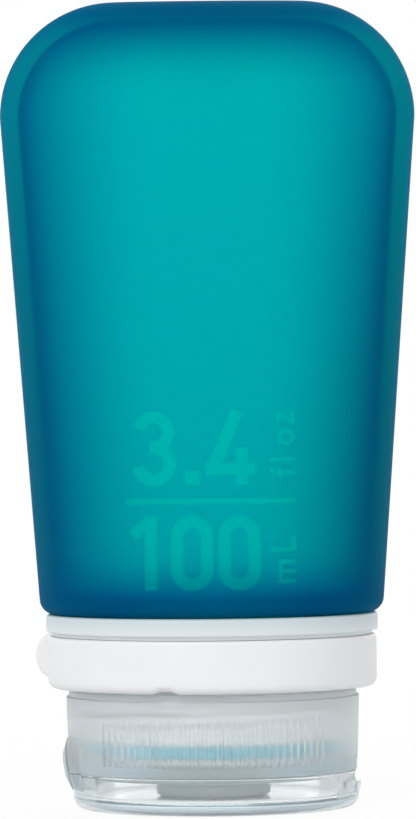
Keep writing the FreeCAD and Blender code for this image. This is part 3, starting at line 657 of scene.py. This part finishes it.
def build_tab():
    """Flat tab round its hole: at each angle about the hole, a rounded section runs from the hole out to the
    tab's outline, which is a half circle at the tip, and two straight sides that flare into the ring."""
    turn = np.linspace(0, FULL_TURN, TAB_COLUMNS, endpoint=False)
    hole_at = TAB_END - TAB_HOLE_SETBACK
    half_height = TAB_HEIGHT / 2
    root = hole_at - RING_BORE - TAB_ROOT
    sideways = half_height / np.maximum(np.abs(np.sin(turn)), TINY)
    ahead = TAB_HOLE_SETBACK * np.cos(turn)
    tip = ahead + np.sqrt(half_height ** 2 - (TAB_HOLE_SETBACK * np.sin(turn)) ** 2)
    beyond = sideways * np.cos(turn) > TAB_HOLE_SETBACK
    reach = np.where(beyond, tip, np.minimum(sideways, root / np.maximum(-np.cos(turn), TINY)))
    half = TAB_THICKNESS / 2
    section = divided(np.array([(0.0, -half), (1.0, -half), (1.0, half), (0.0, half)]), TAB_STEP, closed=True)
    along = TAB_HOLE + section[:, :1] * (reach - TAB_HOLE)
    thin = fallen(along - TAB_HOLE, TAB_HOLE_ROUND) + fallen(reach - along, TAB_RIM_ROUND)
    out = hole_at + along * np.cos(turn)
    flare = 1 + TAB_FLARE * np.exp(-np.maximum(out - RING_RADIUS, 0) / TAB_FLARE)
    level = section[:, 1:]
    thickness = np.sign(level) * np.minimum(np.abs(level), half - thin) * flare
    up = (RING_LOW + RING_HIGH) / 2 + along * np.sin(turn)
    x = out * math.cos(TAB_ANGLE) - thickness * math.sin(TAB_ANGLE)
    y = out * math.sin(TAB_ANGLE) + thickness * math.cos(TAB_ANGLE)
    return add_piece("hang_tab", np.stack([x, y, up], axis=-1), wrap_rows=True)


def fallen(inside, radius):
    """How far a rounded edge has fallen away, at a distance inside that edge: the radius less the height of
    its circle there."""
    short = np.clip(radius - inside, 0, radius)
    return radius - np.sqrt(radius ** 2 - short ** 2)


def join(piece, other):
    """Adds the other mesh to the piece's own and drops the other."""
    work = bmesh.new()
    work.from_mesh(piece.data)
    work.from_mesh(other.data)
    work.to_mesh(piece.data)
    work.free()
    spare = other.data
    bpy.data.objects.remove(other)
    bpy.data.meshes.remove(spare)


def with_land(radius, angles, height, heights, faces, centre=0.0):
    """Radius that grows to the flat hinge land: its face's distance over the cosine of the angle. It melts
    back into the round past the strap's width."""
    from_hinge = np.clip(from_angle(angles, HINGE_SIDE), -LAND_FAN, LAND_FAN)
    face = np.interp(height, heights, faces) + centre
    aside = np.abs(face * np.tan(from_hinge))
    share = smooth((HINGE_HALF_WIDTH + LAND_MELT - aside) / LAND_MELT)
    share = share * (height > heights[0] - HAIR) * (height < heights[-1] + HAIR)
    return radius + share * np.maximum(face / np.cos(from_hinge) - radius, 0)


def rib_share(angles):
    """Share of the full rib at an angle: trapezoids, evenly spaced over a fan on the front and the back."""
    step = RIB_FAN / (RIB_COUNT - 1)
    share = np.zeros_like(angles)
    for face in (FRONT, BACK):
        away = from_angle(angles, face)
        across = np.abs((away + step / 2 + RIB_FAN) % step - step / 2) * CAP_RADIUS
        inside = np.abs(away) < (RIB_FAN + step) / 2
        share = np.maximum(share, np.clip((RIB_WIDTH / 2 - across) / (RIB_WIDTH / 4), 0, 1) * inside)
    return share


def build_cap(material):
    """Turned cap as one closed skin: skirt, rim, threaded bore, deck, spout and snap ring. The ribs add to
    the skirt's radius by angle and height, and the thread takes away from the bore's. The outside, the deck's
    lower face and, most of all, the spout have a matt skin."""
    snap_low = SEAM - SNAP_HEIGHT
    outline = divided(rounded((
        (ORIFICE_RADIUS, SPOUT_END, EASED),
        (SPOUT_RADIUS, SPOUT_END, SPOUT_ROUND),
        (SPOUT_RADIUS, SEAM, SOFT),
        (SNAP_RADIUS - SNAP_WALL, SEAM, EASED),
        (SNAP_RADIUS - SNAP_WALL, snap_low, EASED),
        (SNAP_RADIUS, snap_low, SOFT),
        (SNAP_RADIUS, SEAM, EASED),
        (DECK_RADIUS, SEAM, EASED),
        (DECK_RADIUS, BAND_TOP, 0),
        (CAP_FOOT, BAND_TOP, 0),
        (CAP_RADIUS, RIM - RIM_STEP_HEIGHT, RIM_ROUND),
        (CAP_RADIUS - RIM_STEP, RIM - RIM_STEP_HEIGHT, CRISP),
        (CAP_RADIUS - RIM_STEP, RIM, EASED),
        (CAP_BORE, RIM, SOFT),
        (CAP_BORE, DECK_TOP, DECK_ROUND),
        (VALVE_SEAT, DECK_TOP, SOFT),
        (VALVE_SEAT, VALVE_LOW, CRISP),
        (ORIFICE_RADIUS, VALVE_LOW, CRISP),
    ), closed=True, steps=3), CAP_STEP, closed=True)
    ribbed = RIB_FAN / 2 + CAP_RIB_SPARE
    angles = crowded(CAP_COLUMNS, (FRONT, ribbed, 8), (BACK, ribbed, 8), (HINGE_SIDE, CAP_HINGE_FAN, 3))
    radius, height = outline[:, :1], outline[:, 1:]
    outside = radius > DECK_RADIUS - NEAR
    skirt = (radius > CAP_FOOT - NEAR) & (height > BAND_TOP - HAIR) & (height < RIM - RIM_STEP_HEIGHT + HAIR)
    bore = (np.abs(radius - CAP_BORE) < HAIR) & (height > DECK_TOP)
    window = smooth((height - RIB_LOW) / RIB_FOOT_FADE) * smooth((RIB_HIGH - height) / RIB_END_FADE)
    shaped = radius + skirt * rib_share(angles) * window * (RIB_RADIUS - radius)
    shaped = shaped - bore * THREAD_DEPTH * thread(angles, height, CAP_THREAD, CAP_TURNS)
    land = with_land(shaped, angles, height, HINGE_HEIGHTS[1:], HINGE_FACES[1:])
    shaped = np.where(outside & (height < HINGE_HEIGHTS[-1]), land, shaped)
    below = (height < SEAM + HAIR) & (radius > (VALVE_SEAT + SPOUT_RADIUS) / 2)
    spout = below & (radius < SPOUT_RADIUS + NEAR) | (height < SPOUT_END + SPOUT_FACE)
    skin = np.broadcast_to(np.maximum(outside | below, SPOUT_SKIN * spout), shaped.shape)
    piece = add_piece("frosted_cap", spun(shaped, height, angles), wrap_rows=True, marks={"skin": skin})
    return dress(piece, "screw_cap", material)


def build_lid(material):
    """Turned cup with poles in its foot and on its floor. The thumb lip is a round of its own plan radius,
    the finger groove a level cylinder, and both set the radius of the wall by angle and height. A matt skin
    covers the foot and the hinge land, and a trace of it the rest; down both sides it is painted shade."""
    outline = divided(rounded((
        (0, LABEL_DEPTH, 0),
        (LABEL_RADIUS, LABEL_DEPTH, CRISP),
        (LABEL_RADIUS, 0, LABEL_ROUND),
        (LID_RADIUS, 0, FOOT_ROUND),
        (LID_RADIUS, LID_TOP, LID_RIM_ROUND),
        (LID_BORE, LID_TOP, LID_RIM_ROUND),
        (LID_BORE, LID_FLOOR, LID_FLOOR_ROUND),
        (PLUG_RADIUS, LID_FLOOR, SOFT),
        (PLUG_RADIUS, PLUG_TOP, SOFT),
        (PLUG_BORE, PLUG_TOP, EASED),
        (PLUG_BORE, LID_FLOOR, SOFT),
        (0, LID_FLOOR, 0),
    ), steps=8), LID_STEP)
    angles = crowded(LID_COLUMNS, (THUMB_SIDE, LID_THUMB_FAN, 4), (HINGE_SIDE, LID_HINGE_FAN, 4))
    radius, height = outline[:, :1], outline[:, 1:]
    wall = (radius > LID_BORE + LID_BAND) & (height > LID_WALL_FOOT)
    reach = THUMB_TIP - THUMB_PLAN - LID_OFFSET
    lip = reach * np.cos(angles) + np.sqrt(np.maximum(THUMB_PLAN ** 2 - (reach * np.sin(angles)) ** 2, 0))
    tongue = smooth((height - THUMB_LOW) / THUMB_TAPER) * (height <= THUMB_TOP + HAIR)
    lip = np.where(np.abs(from_angle(angles, THUMB_SIDE)) < THUMB_FAN, lip, 0)
    shaped = radius + wall * tongue * np.maximum(lip - radius, 0)
    above = np.maximum(SCOOP_RADIUS ** 2 - (height - THUMB_TOP - SCOOP_RADIUS) ** 2, 0)
    groove = LID_RADIUS - SCOOP_DEPTH + SCOOP_RADIUS - np.sqrt(above)
    toward = np.cos(angles)
    limit = np.where(toward > SCOOP_COSINE, groove / np.maximum(toward, SCOOP_COSINE), np.inf)
    outer = radius > LID_RADIUS - LID_BAND
    shaped = np.where(outer & (height > THUMB_TOP), np.minimum(shaped, limit), shaped)
    land = with_land(shaped, angles, height, HINGE_HEIGHTS[:2], HINGE_FACES[:2], LID_OFFSET)
    melted = smooth((land - shaped) / LAND_FADE) * outer
    shaped = np.where(outer, land, shaped)
    centre = LID_OFFSET * smooth((radius - PLUG_RADIUS) / (LID_BORE - PLUG_RADIUS))
    points = spun(shaped, height, angles, centre)
    outside = np.cumsum(height > LID_TOP - LID_BAND)[:, None] == 0
    # Painted shade: a grey matt band down both sides, toward the thumb and the hinge.
    aside = np.minimum(np.abs(from_angle(angles, THUMB_SIDE)), np.abs(from_angle(angles, HINGE_SIDE)))
    side_shade = SIDE_SHADE * smooth((SIDE_REACH - aside) / SIDE_FADE)
    foot = smooth((FOOT_SKIN - height) / FOOT_FADE)
    skin = np.maximum(outside * np.maximum(foot, side_shade * (height > LID_WALL_FOOT)), melted)
    skin = np.maximum(skin, LID_VEIL)
    piece = add_piece("clear_lid", points, marks={"skin": skin})
    return dress(piece, "flip_lid", material)


def build_hinge(material):
    """Strap with a rounded oblong section, carried along a cubic curve through the hinge's four stations. It
    thins towards its ends, where it melts into the cap and the lid, and its end rows shrink to points."""
    stations = np.array(HINGE_HEIGHTS)
    share = np.linspace(0, 1, STRAP_ROWS)
    height = stations[0] + (stations[-1] - stations[0]) * share
    polynomial = np.polyfit(stations, np.array(HINGE_FACES), 3)
    face = np.polyval(polynomial, height) + HINGE_GAP
    thinned = STRAP_END + (1 - STRAP_END) * smooth(np.minimum(share, 1 - share) / STRAP_FADE)
    slope = np.polyval(np.polyder(polynomial), height)
    normal = np.stack([np.ones_like(slope), -slope], axis=1) / np.hypot(1, slope)[:, None]
    half = HINGE_WEB / 2
    section = divided(rounded((
        (-half, -HINGE_HALF_WIDTH, EASED), (half, -HINGE_HALF_WIDTH, EASED),
        (half, HINGE_HALF_WIDTH, EASED), (-half, HINGE_HALF_WIDTH, EASED),
    ), closed=True, steps=3), STRAP_STEP, closed=True)
    offset, aside = section.T[:, None]
    lifted = (offset + half) * thinned[:, None]
    out = face[:, None] + normal[:, :1] * lifted
    up = height[:, None] + normal[:, 1:] * lifted
    points = np.stack(np.broadcast_arrays(-out, aside, up), axis=-1)
    ends = points.mean(axis=1, keepdims=True) + 0 * points
    points = np.concatenate([ends[:1], points, ends[-1:]])
    piece = add_piece("hinge_strap", points, marks={"skin": np.ones(points.shape[:2])})
    return dress(piece, "lid_hinge", material)


def build_valve(material):
    """Rimmed disc with a dished skin. Two crossed slits sink into both of its faces as narrow grooves, which
    fall off as a bell curve across a slit and end at its reach."""
    radius_out = valve_high[0]
    outline = divided(rounded((
        (0, VALVE_SKIN_LOW, 0),
        (VALVE_EYE, VALVE_SKIN_LOW + VALVE_DISH, VALVE_LOWER_ROUND),
        (VALVE_EYE, VALVE_LOW, CRISP),
        (radius_out, VALVE_LOW, EASED),
        (radius_out, VALVE_HIGH, EASED),
        (VALVE_EYE, VALVE_HIGH, CRISP),
        (VALVE_EYE, VALVE_SKIN_HIGH + VALVE_DISH, VALVE_UPPER_ROUND),
        (0, VALVE_SKIN_HIGH, 0),
    ), steps=3), VALVE_STEP)
    angles = np.linspace(0, FULL_TURN, VALVE_COLUMNS, endpoint=False)
    points = turned(outline, angles)
    x, y, z = np.moveaxis(points, -1, 0)
    across = np.minimum(np.abs(x), np.abs(y))
    along = np.maximum(np.abs(x), np.abs(y))
    depth = SLIT_WIDTH * np.exp(-(across / (SLIT_WIDTH / 2)) ** 2) * smooth((SLIT_REACH - along) / SLIT_WIDTH)
    middle = (VALVE_SKIN_LOW + VALVE_SKIN_HIGH + VALVE_DISH) / 2
    points[..., 2] = z + np.where(z < middle, depth, -depth)
    piece = add_piece("slit_valve", points)
    return dress(piece, "spout_valve", material)


def build_band(name, node, inner, rounding, material):
    """Plain turned ring with rounded corners, as large as its solid."""
    low, high = span(node)
    outer = high[0]
    outline = divided(rounded((
        (inner, low[2], rounding), (outer, low[2], rounding),
        (outer, high[2], rounding), (inner, high[2], rounding),
    ), closed=True, steps=3), BAND_STEP, closed=True)
    angles = np.linspace(0, FULL_TURN, BAND_COLUMNS, endpoint=False)
    piece = add_piece(name, turned(outline, angles), wrap_rows=True)
    return dress(piece, node, material)


class Field:
    """A socket that carries a number over a surface. Arithmetic on it adds Math nodes."""

    def __init__(self, finish, socket):
        self.finish = finish
        self.socket = socket

    def maths(self, operation, first, second):
        """Adds a Math node for an operation on two numbers or sockets."""
        return self.finish.node("ShaderNodeMath", {"operation": operation}, {0: first, 1: second})

    def __add__(self, other):
        return self.maths("ADD", self, other)

    def __radd__(self, other):
        return self.maths("ADD", other, self)

    def __sub__(self, other):
        return self.maths("SUBTRACT", self, other)

    def __rsub__(self, other):
        return self.maths("SUBTRACT", other, self)

    def __mul__(self, other):
        return self.maths("MULTIPLY", self, other)

    def __rmul__(self, other):
        return self.maths("MULTIPLY", other, self)

    def at_most(self, other):
        """The lesser of the two."""
        return self.maths("MINIMUM", self, other)


class Finish:
    """A node tree under construction."""

    def __init__(self, tree):
        self.tree = tree
        tree.nodes.clear()

    def node(self, kind, settings=None, sockets=None, output=0):
        """Adds a node: its settings first, then its sockets' values or links. Gives one of its outputs."""
        made = self.tree.nodes.new(kind)
        for key, value in (settings or {}).items():
            setattr(made, key, value)
        for key, value in (sockets or {}).items():
            if isinstance(value, Field):
                self.tree.links.new(value.socket, made.inputs[key])
            else:
                made.inputs[key].default_value = value
        return Field(self, made.outputs[output]) if len(made.outputs) else None

    def place(self):
        """Object coordinates, in metres."""
        return self.node("ShaderNodeTexCoord", output="Object")

    def grain(self, size, detail=2.0):
        """Cloudy noise whose grains are about a size in metres, from 0 to 1."""
        return self.node("ShaderNodeTexNoise", {"noise_dimensions": "3D"},
                         {"Vector": self.place(), "Scale": 1 / size, "Detail": detail})

    def bump(self, height, distance):
        """Normal tilted by a height from 0 to 1, whose full rise is a distance in metres."""
        return self.node("ShaderNodeBump", {}, {"Height": height, "Distance": distance, "Strength": 1.0})

    def ramp(self, value, start, end, low=0.0, high=1.0):
        """Smooth step from a low to a high result, as a value goes from a start to an end."""
        return self.node("ShaderNodeMapRange", {"interpolation_type": "SMOOTHSTEP"}, {
            "Value": value, "From Min": start, "From Max": end, "To Min": low, "To Max": high})

    def shades(self, share, dark, light):
        """Colour between two colours, by a share."""
        return self.node("ShaderNodeMix", {"data_type": "RGBA"}, {0: share, 6: dark, 7: light}, output=2)


def new_finish(name):
    """A new material, and its node tree to be filled."""
    material = bpy.data.materials.new(name)
    material.use_nodes = True
    return material, Finish(material.node_tree)


def colour(red, green, blue):
    """Opaque colour, as a socket takes it."""
    return (red, green, blue, 1.0)


def close_finish(finish, principled, absorbs=None, density=0.0):
    """Ends a material, with the colour that its bulk lets through where light crosses it."""
    sockets = {"Surface": principled}
    if absorbs:
        bulk = {"Color": absorbs, "Density": density}
        sockets["Volume"] = finish.node("ShaderNodeVolumeAbsorption", {}, bulk)
    finish.node("ShaderNodeOutputMaterial", {}, sockets)


def silicone_finish():
    """Frosted teal silicone, with a polish on the numbers: a share of blue dye that light strikes, in a clear
    body that light crosses and that turns it teal. Painted shade darkens both towards the sides and ends, and
    a painted glow lightens the dye to bright teal on the numbers and on the lip in the cap, which shows
    mostly its dye."""
    material, finish = new_finish("frosted_silicone")
    polish_and_glow = finish.node("ShaderNodeAttribute", {"attribute_name": "polish_and_glow"}, output="Fac")
    frost = finish.grain(0.0004, 3.0)
    cloud = finish.grain(0.012)
    painted_shade = finish.node("ShaderNodeAttribute", {"attribute_name": "painted_shade"}, output="Fac")
    lip = finish.node("ShaderNodeAttribute", {"attribute_name": "lip"}, output="Fac")
    roughness = 0.5 + 0.08 * frost - 0.42 * polish_and_glow
    normal = finish.bump(frost * (1 - polish_and_glow), 0.00002)
    pigment = finish.shades(cloud, colour(0.0, 0.34, 0.80), colour(0.0, 0.37, 0.86))
    # Painted shade: the dye turns a deeper blue towards the sides and ends.
    pigment = finish.shades(painted_shade, pigment, colour(0.0, 0.33, 0.94))
    # Painted glow: the numbers and the lip take a bright teal dye.
    dye = finish.node("ShaderNodeBsdfPrincipled", {}, {
        "Base Color": finish.shades((polish_and_glow + lip).at_most(1.0), pigment, colour(0.0, 0.75, 0.95)),
        "Roughness": roughness, "Normal": normal, "Specular IOR Level": 0.0})
    # Painted shade: the clear body's colour darkens to a dark teal towards the sides and ends.
    clear = finish.node("ShaderNodeBsdfPrincipled", {}, {
        "Base Color": finish.shades(painted_shade, colour(0.02, 0.95, 0.86), colour(0.0, 0.12, 0.16)),
        "Roughness": roughness, "Normal": normal, "IOR": 1.05, "Specular Tint": colour(0.0, 0.08, 0.2),
        "Transmission Weight": 1.0})
    # Painted glow: the lip takes a larger share of the bright dye.
    mixed = finish.node("ShaderNodeMixShader", {}, {
        0: DYE_SHARE + (LIP_GLOW_SHARE - DYE_SHARE) * lip, 1: clear, 2: dye})
    close_finish(finish, mixed, colour(0.0, 0.6, 0.42), 260.0)
    return material


def valve_finish():
    """Soft translucent teal silicone with a satin skin."""
    material, finish = new_finish("valve_silicone")
    frost = finish.grain(0.0003, 3.0)
    tint = finish.shades(finish.grain(0.004), colour(0.10, 0.62, 0.62), colour(0.14, 0.68, 0.68))
    principled = finish.node("ShaderNodeBsdfPrincipled", {}, {
        "Base Color": tint, "Roughness": 0.42 + 0.12 * frost, "Normal": finish.bump(frost, 0.00001),
        "IOR": 1.41, "Transmission Weight": 0.6})
    close_finish(finish, principled, colour(0.1, 0.7, 0.8), 150.0)
    return material


def white_plastic_finish(name, dark, light, rough, soft, painted_shade_tint=None):
    """Satin moulded plastic: faint clouds in its colour, fine grain, and a roughness that drifts. A painted
    shade, bluish from the teal body above, where there is one, takes over from the height of the hang ring up
    to the shoulder."""
    material, finish = new_finish(name)
    grain = finish.grain(0.00035, 3.0)
    drift = finish.grain(0.006)
    shade = finish.shades(drift, dark, light)
    # Painted shade: darker and bluer up the flange towards the shoulder.
    if painted_shade_tint:
        height = finish.node("ShaderNodeSeparateXYZ", {}, {0: finish.place()}, output="Z")
        shade = finish.shades(finish.ramp(height, WEB_HIGH * MM, SHOULDER * MM), shade, painted_shade_tint)
    principled = finish.node("ShaderNodeBsdfPrincipled", {}, {
        "Base Color": shade,
        "Roughness": rough + 0.1 * drift + 0.06 * grain,
        "Normal": finish.bump(grain, 0.000015),
        "IOR": 1.45, "Subsurface Weight": soft, "Subsurface Radius": (1.0, 1.0, 1.0),
        "Subsurface Scale": 0.003})
    close_finish(finish, principled)
    return material


def clear_plastic_finish(name, dark, light, rough, frost_depth, density, share):
    """Clear moulded plastic with a faint body colour, frost and flow marks. The attribute called skin lays a
    share of matt colour over some of it, which on the lid's two sides is painted shade."""
    material, finish = new_finish(name)
    frost = finish.grain(0.0003, 3.0)
    flow = finish.grain(0.005)
    roughness = rough * (0.85 + 0.3 * flow)
    normal = finish.bump(0.3 * frost + flow, frost_depth)
    clear = finish.node("ShaderNodeBsdfPrincipled", {}, {
        "Base Color": finish.shades(flow, colour(0.97, 0.99, 0.99), colour(0.99, 0.995, 1.0)),
        "Roughness": roughness, "Normal": normal, "IOR": 1.45, "Transmission Weight": 1.0})
    matt = finish.node("ShaderNodeBsdfPrincipled", {}, {
        "Base Color": finish.shades(flow, dark, light), "Roughness": 0.4, "Normal": normal})
    skin = finish.node("ShaderNodeAttribute", {"attribute_name": "skin"}, output="Fac")
    mixed = finish.node("ShaderNodeMixShader", {}, {0: share * skin, 1: clear, 2: matt})
    close_finish(finish, mixed, colour(0.4, 0.7, 0.8), density)
    return material


def seen_through(finish):
    """1 for rays that a reflection or a clear material sends out, and 0 for rays that carry light."""
    mirrored = finish.node("ShaderNodeLightPath", output="Is Glossy Ray")
    crossing = finish.node("ShaderNodeLightPath", output="Is Transmission Ray")
    return (mirrored + crossing).at_most(1.0)


def build_world():
    """White to the eye. Reflections and clear materials see it bright before and behind the object and dimmer
    to the sides, as between two broad panels, and it lights everything else evenly."""
    world = bpy.data.worlds.new("surroundings")
    bpy.context.scene.world = world
    world.use_nodes = True
    finish = Finish(world.node_tree)
    way = finish.node("ShaderNodeTexCoord", output="Generated")
    facing = finish.node("ShaderNodeSeparateXYZ", {}, {0: way}, output="Y")
    toward = finish.node("ShaderNodeMath", {"operation": "ABSOLUTE"}, {0: facing})
    panel = finish.ramp(toward, PANEL_EDGE, PANEL_FULL, PANEL_SIDE, PANEL_LIGHT)
    eye = finish.node("ShaderNodeLightPath", output="Is Camera Ray")
    through = seen_through(finish)
    unseen = through * panel + (1 - through) * AMBIENT
    background = finish.node("ShaderNodeBackground", {}, {
        "Color": colour(1, 1, 1), "Strength": eye + (1 - eye) * unseen})
    finish.node("ShaderNodeOutputWorld", {}, {"Surface": background})


def floor_finish():
    """Pale paper that glows to white away from the object, for the eye and in clear materials only."""
    material, finish = new_finish("pale_floor")
    paper = finish.node("ShaderNodeBsdfPrincipled", {}, {
        "Base Color": colour(0.84, 0.84, 0.84), "Roughness": 0.7})
    glow = finish.node("ShaderNodeEmission", {}, {"Color": colour(1, 1, 1), "Strength": 1.0})
    away = finish.node("ShaderNodeVectorMath", {"operation": "LENGTH"}, {0: finish.place()}, output="Value")
    whiter = finish.ramp(away, FLOOR_NEAR, FLOOR_FAR, FLOOR_GLOW, 1.0)
    eye = finish.node("ShaderNodeLightPath", output="Is Camera Ray")
    share = (eye + seen_through(finish)).at_most(1.0) * whiter
    mixed = finish.node("ShaderNodeMixShader", {}, {0: share, 1: paper, 2: glow})
    finish.node("ShaderNodeOutputMaterial", {}, {"Surface": mixed})
    return material


def build_stage():
    """Floor under the object, and soft lamps that face it."""
    edge = FLOOR_SIZE / 2
    mesh = bpy.data.meshes.new("floor")
    corners = [(-edge, -edge, 0), (edge, -edge, 0), (edge, edge, 0), (-edge, edge, 0)]
    mesh.from_pydata(corners, [], [(0, 1, 2, 3)])
    mesh.materials.append(floor_finish())
    floor = bpy.data.objects.new("floor", mesh)
    bpy.context.scene.collection.objects.link(floor)
    for name, place, size, power in LAMPS:
        lamp = bpy.data.lights.new(name, "AREA")
        lamp.size = size
        lamp.energy = power
        holder = bpy.data.objects.new(name, lamp)
        holder.location = place
        holder.rotation_euler = (AIM - holder.location).to_track_quat("-Z", "Y").to_euler()
        bpy.context.scene.collection.objects.link(holder)


# Studio, in metres. Each lamp has a name, a place, a size and a power in watts.
AMBIENT = 0.5
PANEL_EDGE, PANEL_FULL = 0.2, 0.95
PANEL_SIDE, PANEL_LIGHT = 1.15, 1.31
FLOOR_GLOW = 0.93
FLOOR_NEAR, FLOOR_FAR = 0.08, 0.4
FLOOR_SIZE = 6.0
AIM = (cad_box[0] + cad_box[1]) / 2
LAMPS = (
    ("key_lamp", (-0.45, -0.85, 0.6), 0.6, 4.8),
    ("side_lamp", (-0.95, 0.1, 0.3), 0.5, 0.7),
    ("fill_lamp", (0.7, -0.7, 0.35), 0.6, 1.5),
    ("back_lamp", (0.2, 0.9, 0.6), 0.8, 4.0),
)

# Camera, in millimetres: the photograph's scale at the axis, the level of its middle row and its lean.
FRAME_HEIGHT_PX = 819
FRAME_WIDTH_PX = 416
AXIS_PX = 210.0
MM_PER_PX = 0.1442
FOOT_ROW_PX = 806.0
DISTANCE = 721.0
SENSOR = 36.0
LEAN = math.radians(0.55)


def build_camera():
    """Level camera before the object, set to the photograph's scale and leaning about its line of sight."""
    data = bpy.data.cameras.new("camera")
    data.sensor_width = SENSOR
    data.lens = SENSOR * DISTANCE / (FRAME_HEIGHT_PX * MM_PER_PX)
    camera = bpy.data.objects.new("camera", data)
    aside = (FRAME_WIDTH_PX / 2 - AXIS_PX) * MM_PER_PX
    level = (FOOT_ROW_PX - FRAME_HEIGHT_PX / 2) * MM_PER_PX
    camera.location = (aside * MM, -DISTANCE * MM, level * MM)
    camera.rotation_euler = (math.pi / 2, LEAN, 0)
    bpy.context.scene.collection.objects.link(camera)
    bpy.context.scene.camera = camera


def build_object():
    """Every piece, each but the hinge strap on the body that carries it; the strap's place is baked into its
    mesh.
    """
    silicone = silicone_finish()
    valve = valve_finish()
    # The collar's painted shade is bluish, from the teal body above its flange.
    collar = white_plastic_finish("collar_plastic", colour(0.93, 0.94, 0.95), colour(0.96, 0.97, 0.97),
                                  rough=0.42, soft=0.0, painted_shade_tint=colour(0.61, 0.69, 0.73))
    ring = white_plastic_finish("ring_plastic", colour(0.84, 0.85, 0.86), colour(0.88, 0.88, 0.89),
                                rough=0.36, soft=0.1)
    seal = white_plastic_finish("seal_plastic", colour(0.78, 0.80, 0.80), colour(0.83, 0.85, 0.85),
                                rough=0.5, soft=0.0)
    frosted = clear_plastic_finish("frosted_plastic", colour(0.92, 0.95, 0.97), colour(0.95, 0.97, 0.98),
                                   rough=0.36, frost_depth=0.00002, density=35.0, share=0.31)
    clear = clear_plastic_finish("clear_plastic", colour(0.66, 0.76, 0.80), colour(0.70, 0.79, 0.82),
                                 rough=0.08, frost_depth=0.00001, density=15.0, share=0.5)
    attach(build_body(silicone), "bottle")
    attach(build_collar(collar), "bottle")
    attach(build_ring(ring), "ring")
    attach(build_cap(frosted), "cap")
    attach(build_lid(clear), "lid")
    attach(build_valve(valve), "cap")
    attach(build_band("valve_ring", "valve_retainer", RETAINER_BORE, RETAINER_ROUND, seal), "cap")
    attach(build_band("sealing_washer", "seal_washer", WASHER_BORE, WASHER_ROUND, seal), "seal")
    strap = build_hinge(frosted)
    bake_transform(strap)


bpy.context.scene.view_settings.view_transform = "Standard"
build_object()
build_world()
build_stage()
build_camera()
